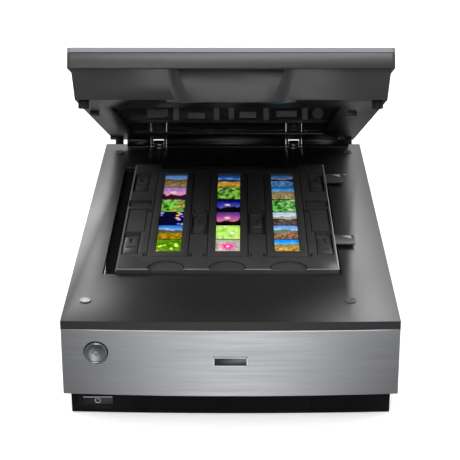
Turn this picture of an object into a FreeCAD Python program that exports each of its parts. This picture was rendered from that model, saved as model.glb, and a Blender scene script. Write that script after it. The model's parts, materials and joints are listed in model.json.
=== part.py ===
"""Flatbed scanner with a lit lid and a film holder on its glass.

Frame: origin at the centre of the base on the desk plane, X to the right, front towards -Y, Z up.
Sizes are in millimetres and live in the sheet "dims"; every feature is bound to its cells.
Lid pieces are drawn with the lid shut and are turned about the hinge axis to the resting angle.
"""
import FreeCAD, Part
import os
import re

import Sketcher
from FreeCAD import Placement, Rotation, Vector

# name, size, what it is
DIMENSIONS = [
    # body
    ("body_width", 309, "width of the housing"),
    ("front_y", -248, "front corners of the housing"),
    ("rear_y", 251, "back of the housing"),
    ("top_z", 97, "top of the housing"),
    ("strip_z", 88.7, "lower edge of the dark strip above the front panel"),
    ("panel_z", 22.7, "lower edge of the front panel and of the side walls"),
    ("tray_z", 0.8, "underside of the base tray"),
    ("wall", 2.5, "thickness of moulded walls"),
    ("cover_thick", 3, "thickness of the top of the housing"),
    ("strip_bow", 2.8, "bow of the strip in plan"),
    ("panel_bow_high", 4, "bow of the front panel along its top edge"),
    ("panel_bow_low", 5.5, "bow of the front panel along its lower edge"),
    ("panel_back_y", -245.5, "back of the front panel at its ends"),
    ("tray_half", 148, "half width of the base tray"),
    ("tray_front", -242, "front corners of the base tray"),
    ("tray_rear", 247, "back of the base tray"),
    ("tray_bow", 3.5, "bow of the base tray in plan"),
    ("ledge_thick", 2, "thickness of the ledge that closes the tray against the housing"),
    ("ledge_half", 151.2, "half width of that ledge"),
    ("boss_x", 139.5, "screw bosses, from the middle"),
    ("boss_front", -226, "front row of screw bosses"),
    ("boss_middle", 8, "middle row of screw bosses"),
    ("boss_rear", 232, "back row of screw bosses"),
    ("boss_r", 4.5, "radius of a screw boss"),
    ("screw_r", 1.5, "radius of a case screw"),
    ("screw_head_r", 3, "radius of its head"),
    ("foot_r", 8, "radius of a rubber foot"),
    ("foot_x", 128, "feet, from the middle"),
    ("foot_y", 215, "feet, front and back"),
    # glass bed
    ("platen_left", -125.2, "left edge of the bed opening"),
    ("platen_right", 107.7, "right edge of the bed opening"),
    ("platen_front", -143, "front edge of the bed opening"),
    ("platen_rear", 166.8, "back edge of the bed opening"),
    ("glass_lap", 4, "glass hidden beyond each edge of the opening"),
    ("glass_thick", 3, "thickness of the bed glass"),
    ("pad_r", 5.6, "radius of a rest pad"),
    ("pad_high", 1.2, "height of a rest pad"),
    ("pad_front_y", -204.6, "front pads"),
    ("pad_rear_y", 218.4, "back pads"),
    ("pad_left", -135.6, "left pads"),
    ("pad_right_front", 111.8, "front right pad"),
    ("pad_right_rear", 137.4, "back right pad"),
    # buttons
    ("start_x", -122.8, "start button"),
    ("start_z", 65.9, "start button"),
    ("start_r", 9.35, "radius of the start button"),
    ("bezel_in", 9.65, "inner radius of its ring"),
    ("bezel_out", 10.9, "outer radius of its ring"),
    ("power_left", -137.6, "power button, left edge"),
    ("power_right", -109.2, "power button, right edge"),
    ("power_low", 8.9, "power button, lower edge"),
    ("power_high", 18.4, "power button, upper edge"),
    ("button_gap", 0.3, "gap round the power button"),
    ("power_face", -244, "face of the power button"),
    ("power_back", -239.4, "front of the power button's flange"),
    ("flange", 1.5, "how far that flange laps behind the tray's wall"),
    ("button_y", -245, "plane behind the start button and its ring"),
    ("lock_y", -53, "middle of the transport lock"),
    ("lock_z", 12, "middle of the transport lock"),
    ("pinhole_z", 13.1, "pinhole in the front of the tray"),
    ("pinhole_r", 0.8, "radius of that pinhole"),
    ("badge_half", 15.6, "half width of the blank badge"),
    ("badge_low", 53.6, "lower edge of the blank badge"),
    ("badge_high", 62.9, "upper edge of the blank badge"),
    # sockets at the back
    ("inlet_left", 92, "mains inlet"),
    ("inlet_right", 120, "mains inlet"),
    ("inlet_low", 34, "mains inlet"),
    ("inlet_high", 54, "mains inlet"),
    ("data_left", 20, "data socket"),
    ("data_right", 32, "data socket"),
    ("data_low", 40, "data socket"),
    ("data_high", 51, "data socket"),
    ("cable_left", -46, "socket for the lid's cable"),
    ("cable_right", -10, "socket for the lid's cable"),
    ("cable_low", 39, "socket for the lid's cable"),
    ("cable_high", 53, "socket for the lid's cable"),
    ("port_gap", 0.2, "gap round each socket in the back wall"),
    # boards and power supply
    ("board_z", 9, "underside of the main board"),
    ("board_thick", 1.6, "thickness of the circuit boards"),
    ("board_left", -48, "main board"),
    ("board_right", 88, "main board"),
    ("board_front", 40, "main board"),
    ("board_rear", 180, "main board"),
    ("supply_left", -34, "power supply"),
    ("supply_right", 56, "power supply"),
    ("supply_front", 198, "power supply"),
    ("supply_rear", 234, "power supply"),
    ("supply_high", 50, "power supply"),
    # scanning carriage
    ("rod_x", -100, "guide rod"),
    ("rod_z", 24, "guide rod"),
    ("rod_r", 4, "radius of the guide rod"),
    ("rod_front", -235, "front end of the guide rod"),
    ("rod_rear", 239, "back end of the guide rod"),
    ("rail_front", -230, "front end of the flat rail"),
    ("rail_rear", 236, "back end of the flat rail"),
    ("run_gap", 0.05, "radial clearance of running fits"),
    ("rail_left", 98, "flat rail"),
    ("rail_right", 112, "flat rail"),
    ("rail_z", 22, "underside of the flat rail"),
    ("rail_thick", 2, "thickness of the flat rail"),
    ("carriage_left", -130.7, "carriage"),
    ("carriage_right", 113.4, "carriage"),
    ("carriage_front", -200, "carriage at its home end"),
    ("carriage_deep", 56, "carriage, front to back"),
    ("carriage_low", 32, "carriage"),
    ("carriage_high", 84, "carriage"),
    ("belt_x", -70, "middle of the scanning belt"),
    ("belt_z", 12, "lower edge of the scanning belt"),
    ("belt_wide", 6, "width of both belts"),
    ("belt_thick", 1.2, "thickness of both belts"),
    ("pulley_r", 6, "radius under the scanning belt"),
    ("motor_y", 222, "scanning motor shaft"),
    ("idler_y", -225, "scanning idler"),
    ("motor_half", 17.5, "half width of the scanning motor"),
    ("motor_low", 26, "underside of the scanning motor"),
    ("motor_high", 50, "top of the scanning motor"),
    ("bracket_half", 22, "half width of the motor bracket"),
    ("spigot_r", 8, "radius of the motor's spigot"),
    ("bush_thick", 2.5, "wall of a carriage bush"),
    ("bush_long", 12, "length of a carriage bush"),
    ("motor_shaft_r", 2.5, "scanning motor shaft"),
    ("idler_pin_r", 2, "pin of the scanning idler"),
    # hinge
    ("hinge_y", 241, "hinge axis"),
    ("hinge_z", 101, "hinge axis"),
    ("hinge_mid", -8.2, "middle between the two hinges"),
    ("hinge_half", 81.8, "each hinge from that middle"),
    ("post_half", 6, "half width of a hinge post"),
    ("post_front", 231, "hinge post"),
    ("post_rear", 244.5, "hinge post"),
    ("post_low", 58, "lower end of a hinge post"),
    ("socket_low", 54, "floor of a hinge socket"),
    ("socket_gap", 0.3, "clearance round a hinge post"),
    ("knuckle_r", 4, "radius of the post's knuckle"),
    ("pin_r", 2, "radius of a hinge pin"),
    ("ear_r", 3.6, "radius of a hinge leaf's ear"),
    ("ear_in", 6.4, "inner face of an ear, from the middle of the hinge"),
    ("ear_out", 9.2, "outer face of an ear"),
    ("ear_gap", 0.5, "gap between an ear and the lid"),
    ("leaf_thick", 3, "thickness of a hinge leaf"),
    ("web_thick", 1.2, "thickness of the web between a leaf's ears"),
    ("web_drop", 5, "from the hinge axis up to that web"),
    ("lid_rest", 23.1, "angle of the open lid at rest, in degrees"),
    # lid, drawn shut
    ("lid_x", 0.5, "middle of the lid"),
    ("lid_half", 147.1, "half width of the lid"),
    ("lid_front", -229.2, "front of the lid"),
    ("lid_rear", 248.5, "back of the lid"),
    ("lid_low", 105.4, "underside of the lid"),
    ("lid_join", 131.9, "joint between the lid's frame and its cover"),
    ("lid_band", 146.6, "joint between the cover and the top panel"),
    ("lid_high", 151, "top of the lid"),
    ("frame_half", 143.8, "half width of the lid's frame at the joint"),
    ("frame_front", -225.3, "front of the lid's frame at the joint"),
    ("frame_rear", 245.5, "back of the lid's frame at the joint"),
    ("under_half_front", 141.4, "half width of the underside at the front"),
    ("under_half_rear", 145.2, "half width of the underside at the back"),
    ("under_front", -213.9, "front of the underside"),
    ("under_rear", 240.5, "back of the underside"),
    ("frame_top", 138, "top of the frame's wall inside the cover"),
    ("floor_thick", 2.6, "thickness of the lid's underside"),
    ("window_left", -114.5, "lid window"),
    ("window_right", 104.6, "lid window"),
    ("window_front", -142, "lid window"),
    ("window_rear", 158, "lid window"),
    ("window_lap", 5, "window glass hidden beyond each edge"),
    ("window_thick", 2, "thickness of the window glass"),
    ("grip_out", 58.5, "half width of the finger grip at the face"),
    ("grip_in", 27.5, "half width of the finger grip at its back"),
    ("grip_deep", 9, "depth of the finger grip under the rim"),
    ("grip_shallow", 5, "depth of the finger grip at the lower edge"),
    ("grip_lip", 1.6, "how far the lip below the grip hangs under the lid"),
    ("barrel_r", 3.7, "radius of the lid's barrel round the hinge axis"),
    ("barrel_left", -128, "left end of the barrel"),
    ("barrel_right", 140, "right end of the barrel"),
    ("hook_half", 4.5, "half width of a hook for the document mat"),
    ("hook_drop", 3.4, "how far a hook hangs under the lid"),
    ("bumper_r", 5, "radius of a lid bumper"),
    ("bumper_x", 133.8, "front lid bumpers, from the middle"),
    ("light_front", 58, "light unit"),
    ("light_deep", 40, "light unit, front to back"),
    ("light_low", 113, "light unit"),
    ("light_high", 130, "light unit"),
    ("lid_rod_x", 125, "guide rod of the light unit"),
    ("lid_rod_z", 122, "guide rod of the light unit"),
    ("lid_rod_r", 3, "guide rod of the light unit"),
    ("lid_rod_front", -204, "front end of that rod"),
    ("lid_rod_rear", 229, "back end of that rod"),
    ("lamp_half", 104, "half width of the light unit's lamp"),
    ("lamp_x", -4, "middle of that lamp"),
    ("lamp_lap", 11, "from the light unit's front and back to its lamp"),
    ("lid_belt_wide", 4.4, "width of the lid belt"),
    ("lid_belt_x", 100, "middle of the lid belt"),
    ("lid_belt_z", 131, "lower edge of the lid belt"),
    ("lid_pulley_r", 5, "radius under the lid belt"),
    ("lid_motor_y", -185, "shaft of the lid motor"),
    ("lid_idler_y", 215, "idler of the lid belt"),
    ("lid_motor_half", 13, "half width of the lid motor"),
    ("lid_shaft_r", 1.5, "shaft and idler pin of the lid belt"),
    # film holder
    ("holder_x", -3.85, "middle of the film holder"),
    ("holder_half", 109.15, "half width of the film holder"),
    ("holder_front", -142, "film holder"),
    ("holder_rear", 162.6, "film holder"),
    ("holder_step", 147, "back edge between the rear corners"),
    ("holder_step_half", 79, "half width of that back edge"),
    ("holder_low", 94.4, "lower edge of the film holder"),
    ("holder_deck", 97.2, "underside of its deck"),
    ("holder_high", 101.75, "top of the film holder"),
    ("bay_pitch", 60, "from one film bay to the next"),
    ("cover_half", 20, "half width of a film cover"),
    ("cover_front", -109.5, "front of a film cover"),
    ("cover_axis_y", 135, "hinge of a film cover"),
    ("cover_axis_z", 100.75, "hinge of a film cover"),
    ("cover_r", 1, "half thickness of a film cover"),
    ("cover_pin_r", 0.7, "pin of a film cover"),
    ("cover_gap", 0.35, "gap round a film cover"),
    ("film_half", 17.4, "half width of a film strip"),
    ("film_front", -100, "film strip"),
    ("film_rear", 132, "film strip"),
    ("film_z", 99.2, "underside of a film strip"),
    ("film_thick", 0.2, "thickness of a film strip"),
    ("pane_half", 13, "half width of a picture opening"),
    ("pane_front", -96, "picture opening"),
    ("pane_rear", 131.2, "picture opening"),
    ("well_half", 7.9, "half width of an adjuster's well"),
    ("well_long", 56, "length of an adjuster's well"),
    ("well_z", 99.2, "floor of an adjuster's well"),
    ("well_x", 98, "outer wells, from the middle of the holder"),
    ("well_mid_x", 29.8, "inner wells, from the middle of the holder"),
    ("well_front_y", -103.5, "front wells"),
    ("well_rear_y", 74.3, "back wells"),
    ("well_mid_y", -50, "inner wells"),
    ("slot_half", 3, "half width of the slot in a well"),
    ("tab_end", 125.5, "outer end of the locating tabs"),
    ("tab_thick", 1.5, "thickness of the locating tabs"),
    ("latch_x", 23.4, "latch slots, from the middle of a bay"),
    ("latch_half", 1.3, "half width of a latch slot"),
    ("latch_long", 4.1, "half length of a latch slot"),
    ("latch_front", -105.6, "front latch slots"),
    ("latch_rear", 15, "back latch slots"),
    ("tab_drop", 0.5, "how far the tabs lie under the top of the holder"),
    ("tab_front_y", -63.5, "middle of the front tab"),
    ("tab_front_half", 11.5, "half width of the front tab"),
    ("tab_rear_y", 118.9, "middle of the back tab"),
    ("tab_rear_half", 13.5, "half width of the back tab"),
    ("slider_long", 45, "length of a height adjuster"),
    ("scoop_half", 17.3, "half width of a finger scoop"),
    ("scoop_deep", 20.5, "reach of a finger scoop from the front edge"),
    ("slope_wide", 2.2, "width of the slope along the left edge"),
    ("slope_deep", 2.6, "depth of the slope along the left edge"),
]
ALIASES = {name for name, _, _ in DIMENSIONS}
PAD_PLACES = (
    ("pad_left", "pad_front_y"),
    ("pad_right_front", "pad_front_y"),
    ("pad_left", "pad_rear_y"),
    ("pad_right_rear", "pad_rear_y"),
)

doc = FreeCAD.newDocument("scanner")
sheet = doc.addObject("Spreadsheet::Sheet", "dims")
PIECES = []


def fill_sheet():
    for row, (name, value, note) in enumerate(DIMENSIONS, start=1):
        sheet.set(f"A{row}", name)
        sheet.set(f"B{row}", str(value))
        sheet.setAlias(f"B{row}", name)
        sheet.set(f"C{row}", note)
    doc.recompute()


def bound(text):
    """The expression with each cell alias looked up in the sheet."""
    return re.sub(r"[a-z_]+", lambda m: "dims." + m[0] if m[0] in ALIASES else m[0], str(text))


def size(text):
    """The value of an expression, in millimetres."""
    return float(sheet.evalExpression(bound(text)))


# ---------------------------------------------------------------- sketch and feature helpers

def new_body(name):
    body = doc.addObject("PartDesign::Body", name)
    body.Label = name
    body.AllowCompound = True
    PIECES.append(body)
    return body


def new_sketch(body, plane, offset):
    sketch = body.newObject("Sketcher::SketchObject", "sketch")
    support = next(f for f in body.Origin.OriginFeatures if f.Role == plane + "_Plane")
    sketch.AttachmentSupport = (support, [""])
    sketch.MapMode = "FlatFace"
    sketch.setExpression("AttachmentOffset.Base.z", bound(offset))
    return sketch


def fix(sketch, geometry, vertex, across, up):
    """Ties one vertex to a place given by two expressions."""
    for kind, text in (("DistanceX", across), ("DistanceY", up)):
        constraint = Sketcher.Constraint(kind, -1, 1, geometry, vertex, size(text))
        index = sketch.addConstraint(constraint)
        sketch.setExpression(f"Constraints[{index}]", bound(f"({text}) * 1"))


def circle(sketch, across, up, radius):
    shape = Part.Circle(Vector(size(across), size(up), 0), Vector(0, 0, 1), size(radius))
    index = sketch.addGeometry(shape, False)
    fix(sketch, index, 3, across, up)
    limit = sketch.addConstraint(Sketcher.Constraint("Radius", index, size(radius)))
    sketch.setExpression(f"Constraints[{limit}]", bound(f"({radius}) * 1"))


def outline(sketch, points):
    """A closed outline. A point of three values, ("via", x, y), bends its stretch into an arc."""
    corners = [p for p in points if len(p) == 2]
    bends = {}
    for index, point in enumerate(points):
        if len(point) == 3:
            bends[points[index - 1]] = point[1:]
    edges = []
    for start, end in zip(corners, corners[1:] + corners[:1]):
        low = Vector(size(start[0]), size(start[1]), 0)
        high = Vector(size(end[0]), size(end[1]), 0)
        if start not in bends:
            edges.append((start, sketch.addGeometry(Part.LineSegment(low, high), False), 1, 2))
            continue
        across, up = bends[start]
        middle = Vector(size(across), size(up), 0)
        clockwise = (middle - low).cross(high - low).z < 0
        ends = (high, low) if clockwise else (low, high)
        edge = sketch.addGeometry(Part.Arc(ends[0], middle, ends[1]), False)
        via = sketch.addGeometry(Part.Point(middle), True)
        sketch.addConstraint(Sketcher.Constraint("PointOnObject", via, 1, edge))
        fix(sketch, via, 1, across, up)
        edges.append((start, edge, 2 if clockwise else 1, 1 if clockwise else 2))
    for index, (start, edge, first, _) in enumerate(edges):
        _, before, _, last = edges[index - 1]
        sketch.addConstraint(Sketcher.Constraint("Coincident", before, last, edge, first))
        fix(sketch, edge, first, *start)


def rectangle(sketch, across, up):
    (left, right), (low, high) = across, up
    outline(sketch, [(left, low), (right, low), (right, high), (left, high)])


def raise_feature(body, kind, sketch, length):
    """A pad or pocket of the given length along the sketch's normal."""
    feature = body.newObject("PartDesign::" + kind, kind)
    feature.Profile = sketch
    feature.setExpression("Length", bound(length))
    feature.Reversed = kind == "Pocket"
    sketch.Visibility = False
    return feature


def plane_of(axis, low, high):
    """Sketch plane, its offset and the length for a feature that runs along an axis."""
    plane = {"X": "YZ", "Y": "XZ", "Z": "XY"}[axis]
    offset = f"-({high})" if axis == "Y" else f"({low})"
    return plane, offset, f"({high}) - ({low})"


def prism(body, kind, axis, span, points):
    plane, offset, length = plane_of(axis, *span)
    sketch = new_sketch(body, plane, offset)
    outline(sketch, points)
    return raise_feature(body, kind, sketch, length)


def block(body, kind, x, y, z):
    """A box between pairs of expressions."""
    sketch = new_sketch(body, "XY", z[0])
    rectangle(sketch, x, y)
    return raise_feature(body, kind, sketch, f"({z[1]}) - ({z[0]})")


def rod(body, kind, axis, centre, radius, span):
    """A round bar or bore; its centre is given in the order X, Y, Z without the axis."""
    plane, offset, length = plane_of(axis, *span)
    sketch = new_sketch(body, plane, offset)
    circle(sketch, centre[0], centre[1], radius)
    return raise_feature(body, kind, sketch, length)


def loft(body, kind, low, high):
    """A straight-sided loft between two outlines, each an (offset, points) pair on XY."""
    sketches = []
    for offset, points in (low, high):
        sketch = new_sketch(body, "XY", offset)
        outline(sketch, points)
        sketches.append(sketch)
    feature = body.newObject("PartDesign::" + kind, kind)
    feature.Profile = sketches[0]
    feature.Sections = [sketches[1]]
    feature.Ruled = True
    return feature


def turned(body, points):
    """A solid of revolution about the body's own Z axis."""
    sketch = new_sketch(body, "XZ", "0")
    outline(sketch, points)
    feature = body.newObject("PartDesign::Revolution", "Revolution")
    feature.Profile = sketch
    feature.ReferenceAxis = (sketch, ["V_Axis"])
    feature.Angle = 360
    return feature


def soften(body, kind, amount, wanted):
    """Fillets or chamfers every edge of the tip that the test picks."""
    doc.recompute()
    tip = body.Tip
    names = [f"Edge{i}" for i, edge in enumerate(tip.Shape.Edges, start=1) if wanted(edge)]
    feature = body.newObject("PartDesign::" + kind, kind)
    feature.Base = (tip, names)
    if kind == "Fillet":
        feature.Radius = amount
    else:
        feature.Size = amount
    return feature


def upright(edge):
    box = edge.BoundBox
    return box.ZLength > 1 and box.XLength < 0.01 and box.YLength < 0.01


def both(middle, half):
    """A span centred on an expression."""
    return f"({middle}) - ({half})", f"({middle}) + ({half})"


# ---------------------------------------------------------------- housing

def bowed(half, front, bow, rear):
    """Plan outline with a bowed front."""
    return [
        (f"-({half})", front),
        ("via", "0", f"({front}) - ({bow})"),
        (half, front),
        (half, rear),
        (f"-({half})", rear),
    ]


def hinge_middles():
    return "hinge_mid - hinge_half", "hinge_mid + hinge_half"


def boss_places():
    return [(side + "boss_x", row) for side in ("-", "") for row in ("boss_front", "boss_middle", "boss_rear")]


def make_upper_housing():
    body = new_body("upper_housing")
    half = "body_width / 2"
    prism(body, "Pad", "Z", ("strip_z", "top_z"), bowed(half, "front_y", "strip_bow", "rear_y"))
    block(body, "Pad", both(0, half), ("panel_back_y", "rear_y"), ("panel_z", "strip_z"))
    inside = both(0, "body_width / 2 - wall")
    block(body, "Pocket", inside, ("panel_back_y", "rear_y - wall"), ("panel_z", "top_z - cover_thick"))
    block(body, "Pocket", ("platen_left", "platen_right"), ("platen_front", "platen_rear"),
          ("top_z - cover_thick", "top_z"))
    for middle in hinge_middles():
        block(body, "Pad", both(middle, "post_half + socket_gap + wall"),
              ("post_front - socket_gap - wall", "rear_y - wall"), ("socket_low - wall", "top_z - cover_thick"))
        block(body, "Pocket", both(middle, "post_half + socket_gap"),
              ("post_front - socket_gap", "post_rear + socket_gap"), ("socket_low", "top_z"))
    for across, along in boss_places():
        rod(body, "Pad", "Z", (across, along), "boss_r", ("tray_z + wall", "top_z - cover_thick"))
        rod(body, "Pocket", "Z", (across, along), "screw_r", ("tray_z + wall", "tray_z + 16"))
    for port in ("inlet", "data", "cable"):
        block(body, "Pocket", (f"{port}_left - port_gap", f"{port}_right + port_gap"),
              ("rear_y - wall - 1", "rear_y + 1"), (f"{port}_low - port_gap", f"{port}_high + port_gap"))
    soften(body, "Fillet", 1.2, lambda e: upright(e) and e.BoundBox.YMin > size("rear_y") - 0.1)


def make_front_panel():
    body = new_body("front_panel")

    def section(bow):
        return [
            ("-body_width / 2", "front_y"),
            ("via", "0", f"front_y - {bow}"),
            ("body_width / 2", "front_y"),
            ("body_width / 2", "panel_back_y"),
            ("via", "0", f"panel_back_y - {bow}"),
            ("-body_width / 2", "panel_back_y"),
        ]

    loft(body, "AdditiveLoft", ("panel_z", section("panel_bow_low")), ("strip_z", section("panel_bow_high")))
    rod(body, "Pocket", "Y", ("start_x", "start_z"), "bezel_out + 0.1", ("front_y - 10", "panel_back_y + 1"))


def make_blank_badge():
    body = new_body("blank_badge")
    face = "front_y - (panel_bow_high + panel_bow_low) / 2"
    block(body, "Pad", both(0, "badge_half"), (f"{face} - 0.9", f"{face} - 0.09"), ("badge_low", "badge_high"))


def make_base_tray():
    body = new_body("base_tray")
    prism(body, "Pad", "Z", ("tray_z", "panel_z"), bowed("tray_half", "tray_front", "tray_bow", "tray_rear"))
    prism(body, "Pad", "Z", ("panel_z", "panel_z + ledge_thick"),
          bowed("ledge_half", "panel_back_y + 0.3", "panel_bow_low - 0.4", "rear_y - wall - 0.3"))
    prism(body, "Pocket", "Z", ("tray_z + wall", "panel_z + ledge_thick"),
          bowed("tray_half - wall", "tray_front + wall", "tray_bow", "tray_rear - wall"))
    for across, along in boss_places():
        rod(body, "Pocket", "Z", (across, along), "screw_r + 0.2", ("tray_z - 1", "tray_z + wall"))
        rod(body, "Pocket", "Z", (across, along), "screw_head_r + 0.2", ("tray_z", "tray_z + 1.3"))
    for end in ("rod_front", "rod_rear"):
        block(body, "Pad", both("rod_x", 7), both(end, 3), ("tray_z + wall", "rod_z + 8"))
    rod(body, "Pocket", "Y", ("rod_x", "rod_z"), "rod_r", ("rod_front", "rod_rear"))
    block(body, "Pad", ("rail_left + 2", "rail_right - 2"), ("rail_front + 2", "rail_rear - 2"),
          ("tray_z + wall", "rail_z"))
    block(body, "Pocket", ("power_left - button_gap", "power_right + button_gap"),
          ("power_face - 8", "tray_front + wall + 1.5"), ("power_low - button_gap", "power_high + button_gap"))
    block(body, "Pocket", ("-tray_half - 2", "-tray_half + wall"), ("lock_y - 3.3", "lock_y + 13.3"),
          both("lock_z", 3))
    for index in range(9):
        left = 6 + 8 * index
        block(body, "Pocket", (left, left + 3.5), ("200", "232"), ("tray_z", "tray_z + wall"))
    rod(body, "Pocket", "Y", ("0", "pinhole_z"), "pinhole_r", ("tray_front - 8", "tray_front + 4"))


def make_base_screws():
    body = new_body("base_screws")
    for across, along in boss_places():
        rod(body, "Pad", "Z", (across, along), "screw_head_r", ("tray_z + 0.2", "tray_z + 1.3"))
        rod(body, "Pad", "Z", (across, along), "screw_r", ("tray_z + 1.3", "tray_z + 14"))


def make_rubber_feet():
    body = new_body("rubber_feet")
    corners = [(across, along) for across in ("-foot_x", "foot_x") for along in ("-foot_y", "foot_y")]
    for place in corners + [("0", "0")]:
        rod(body, "Pad", "Z", place, "foot_r", ("0", "tray_z"))


def make_platen_glass():
    body = new_body("platen_glass")
    block(body, "Pad", ("platen_left - glass_lap", "platen_right + glass_lap"),
          ("platen_front - glass_lap", "platen_rear + glass_lap"),
          ("top_z - cover_thick - glass_thick", "top_z - cover_thick"))


def make_corner_pads():
    body = new_body("corner_pads")
    for place in PAD_PLACES:
        rod(body, "Pad", "Z", place, "pad_r", ("top_z", "top_z + pad_high"))
    soften(body, "Fillet", 0.6, lambda e: abs(e.BoundBox.ZMin - size("top_z + pad_high")) < 0.01)


# ---------------------------------------------------------------- buttons and locks

def facing_front(x, y, z):
    """Places a turned piece so that its own +Z looks out of the front."""
    return Placement(Vector(size(x), size(y), size(z)), Rotation(Vector(1, 0, 0), 90))


def make_button_bezel():
    body = new_body("button_bezel")
    turned(body, [("bezel_in", "0"), ("bezel_out", "0"), ("bezel_out", "5.2"), ("bezel_in + 0.5", "5.6"),
                  ("bezel_in", "5.2")])
    body.Placement = facing_front("start_x", "button_y", "start_z")


def make_start_button():
    body = new_body("start_button")
    turned(body, [("0", "-0.4"), ("3", "-0.4"), ("3", "0.6"), ("start_r", "0.6"), ("start_r", "5"),
                  ("start_r - 0.6", "5.5"), ("start_r * 0.7", "4.9"), ("start_r * 0.4", "4.5"), ("0", "4.3")])
    body.Placement = facing_front("start_x", "button_y", "start_z")


def make_button_board():
    body = new_body("button_board")
    face = "button_y + 3.8"
    block(body, "Pad", both("start_x", 26), (face, f"{face} + board_thick"), both("start_z", 18))
    block(body, "Pad", both("start_x", 3), (f"{face} - 1.8", face), both("start_z", 3))
    face = "power_back + 5.8"
    block(body, "Pad", ("power_left", "power_right"), (face, f"{face} + board_thick"), ("5", "24"))
    block(body, "Pad", both("(power_left + power_right) / 2", 3), (f"{face} - 1.3", face),
          both("(power_low + power_high) / 2", 3))


def make_power_button():
    body = new_body("power_button")
    block(body, "Pad", ("power_left", "power_right"), ("power_face", "power_back"), ("power_low", "power_high"))
    block(body, "Pad", ("power_left - flange", "power_right + flange"), ("power_back", "power_back + 1.2"),
          ("power_low - flange", "power_high + flange"))
    rod(body, "Pad", "Y", ("(power_left + power_right) / 2", "(power_low + power_high) / 2"), "2.5",
        ("power_back + 1.2", "power_back + 3.2"))
    front = size("power_face")
    soften(body, "Chamfer", 0.6, lambda e: abs(e.BoundBox.YMax - front) < 0.01 and e.BoundBox.ZLength < 0.01)


def make_transport_lock():
    body = new_body("transport_lock")
    outside, inside = "-tray_half - 0.2", "-tray_half + wall + 0.2"
    block(body, "Pad", (f"{outside} - 1.6", outside), both("lock_y", 6), both("lock_z", 4.4))
    block(body, "Pad", (outside, inside), both("lock_y", 3), both("lock_z", 2.7))
    block(body, "Pad", (inside, f"{inside} + 1.6"), both("lock_y", 9), both("lock_z", 5))


# ---------------------------------------------------------------- scanning drive

def make_guide_rod():
    body = new_body("guide_rod")
    rod(body, "Pad", "Y", ("rod_x", "rod_z"), "rod_r", ("rod_front", "rod_rear"))


def make_guide_rail():
    body = new_body("guide_rail")
    block(body, "Pad", ("rail_left", "rail_right"), ("rail_front", "rail_rear"), ("rail_z", "rail_z + rail_thick"))


def belt_loop(name, middle, low, radius, ends, thick="belt_thick", wide="belt_wide"):
    """A flat belt round two upright pulleys."""
    body = new_body(name)
    front, rear = ends

    def track(reach, kind):
        left, right = both(middle, reach)
        points = [
            (right, front),
            (right, rear),
            ("via", middle, f"({rear}) + ({reach})"),
            (left, rear),
            (left, front),
            ("via", middle, f"({front}) - ({reach})"),
        ]
        prism(body, kind, "Z", (low, f"({low}) + ({wide})"), points)

    track(f"{radius} + run_gap + {thick}", "Pad")
    track(f"{radius} + run_gap", "Pocket")
    return body


def pulley(body, middle, along, radius, low, wide="belt_wide"):
    """A drum with a flange above and below the belt."""
    place = (middle, along)
    rod(body, "Pad", "Z", place, radius, (f"{low} - 0.2", f"{low} + {wide} + 0.2"))
    rod(body, "Pad", "Z", place, f"{radius} + 2", (f"{low} - 1.2", f"{low} - 0.2"))
    rod(body, "Pad", "Z", place, f"{radius} + 2", (f"{low} + {wide} + 0.2", f"{low} + {wide} + 1.2"))


def make_timing_belt():
    belt_loop("timing_belt", "belt_x", "belt_z", "pulley_r", ("idler_y", "motor_y"))


def make_motor_pulley():
    body = new_body("motor_pulley")
    pulley(body, "belt_x", "motor_y", "pulley_r", "belt_z")
    rod(body, "Pad", "Z", ("belt_x", "motor_y"), "motor_shaft_r", ("belt_z - 2", "motor_low + 12"))


def make_idler_pulley():
    body = new_body("idler_pulley")
    pulley(body, "belt_x", "idler_y", "pulley_r", "belt_z")
    rod(body, "Pocket", "Z", ("belt_x", "idler_y"), "idler_pin_r + run_gap", ("belt_z - 2", "belt_z + 9"))


def make_idler_bracket():
    body = new_body("idler_bracket")
    block(body, "Pad", both("belt_x", 12), both("idler_y", 10), ("tray_z + wall", "tray_z + wall + 2"))
    rod(body, "Pad", "Z", ("belt_x", "idler_y"), "idler_pin_r", ("tray_z + wall + 2", "belt_z + 9"))


def make_stepper_motor():
    body = new_body("stepper_motor")
    block(body, "Pad", both("belt_x", "motor_half"), both("motor_y", "motor_half"), ("motor_low", "motor_high"))
    soften(body, "Chamfer", 3, upright)
    rod(body, "Pad", "Z", ("belt_x", "motor_y"), "spigot_r", ("motor_low - 2.2", "motor_low"))
    rod(body, "Pocket", "Z", ("belt_x", "motor_y"), "motor_shaft_r + run_gap", ("motor_low - 3", "motor_low + 14"))


def make_motor_bracket():
    body = new_body("motor_bracket")
    deep = both("motor_y", 19)
    block(body, "Pad", both("belt_x", "bracket_half"), deep, ("motor_low - 2", "motor_low"))
    for side in ("belt_x - bracket_half + 1", "belt_x + bracket_half - 1"):
        block(body, "Pad", both(side, 1), deep, ("tray_z + wall", "motor_low - 2"))
    rod(body, "Pocket", "Z", ("belt_x", "motor_y"), "spigot_r + 0.1", ("motor_low - 3", "motor_low + 1"))


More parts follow.
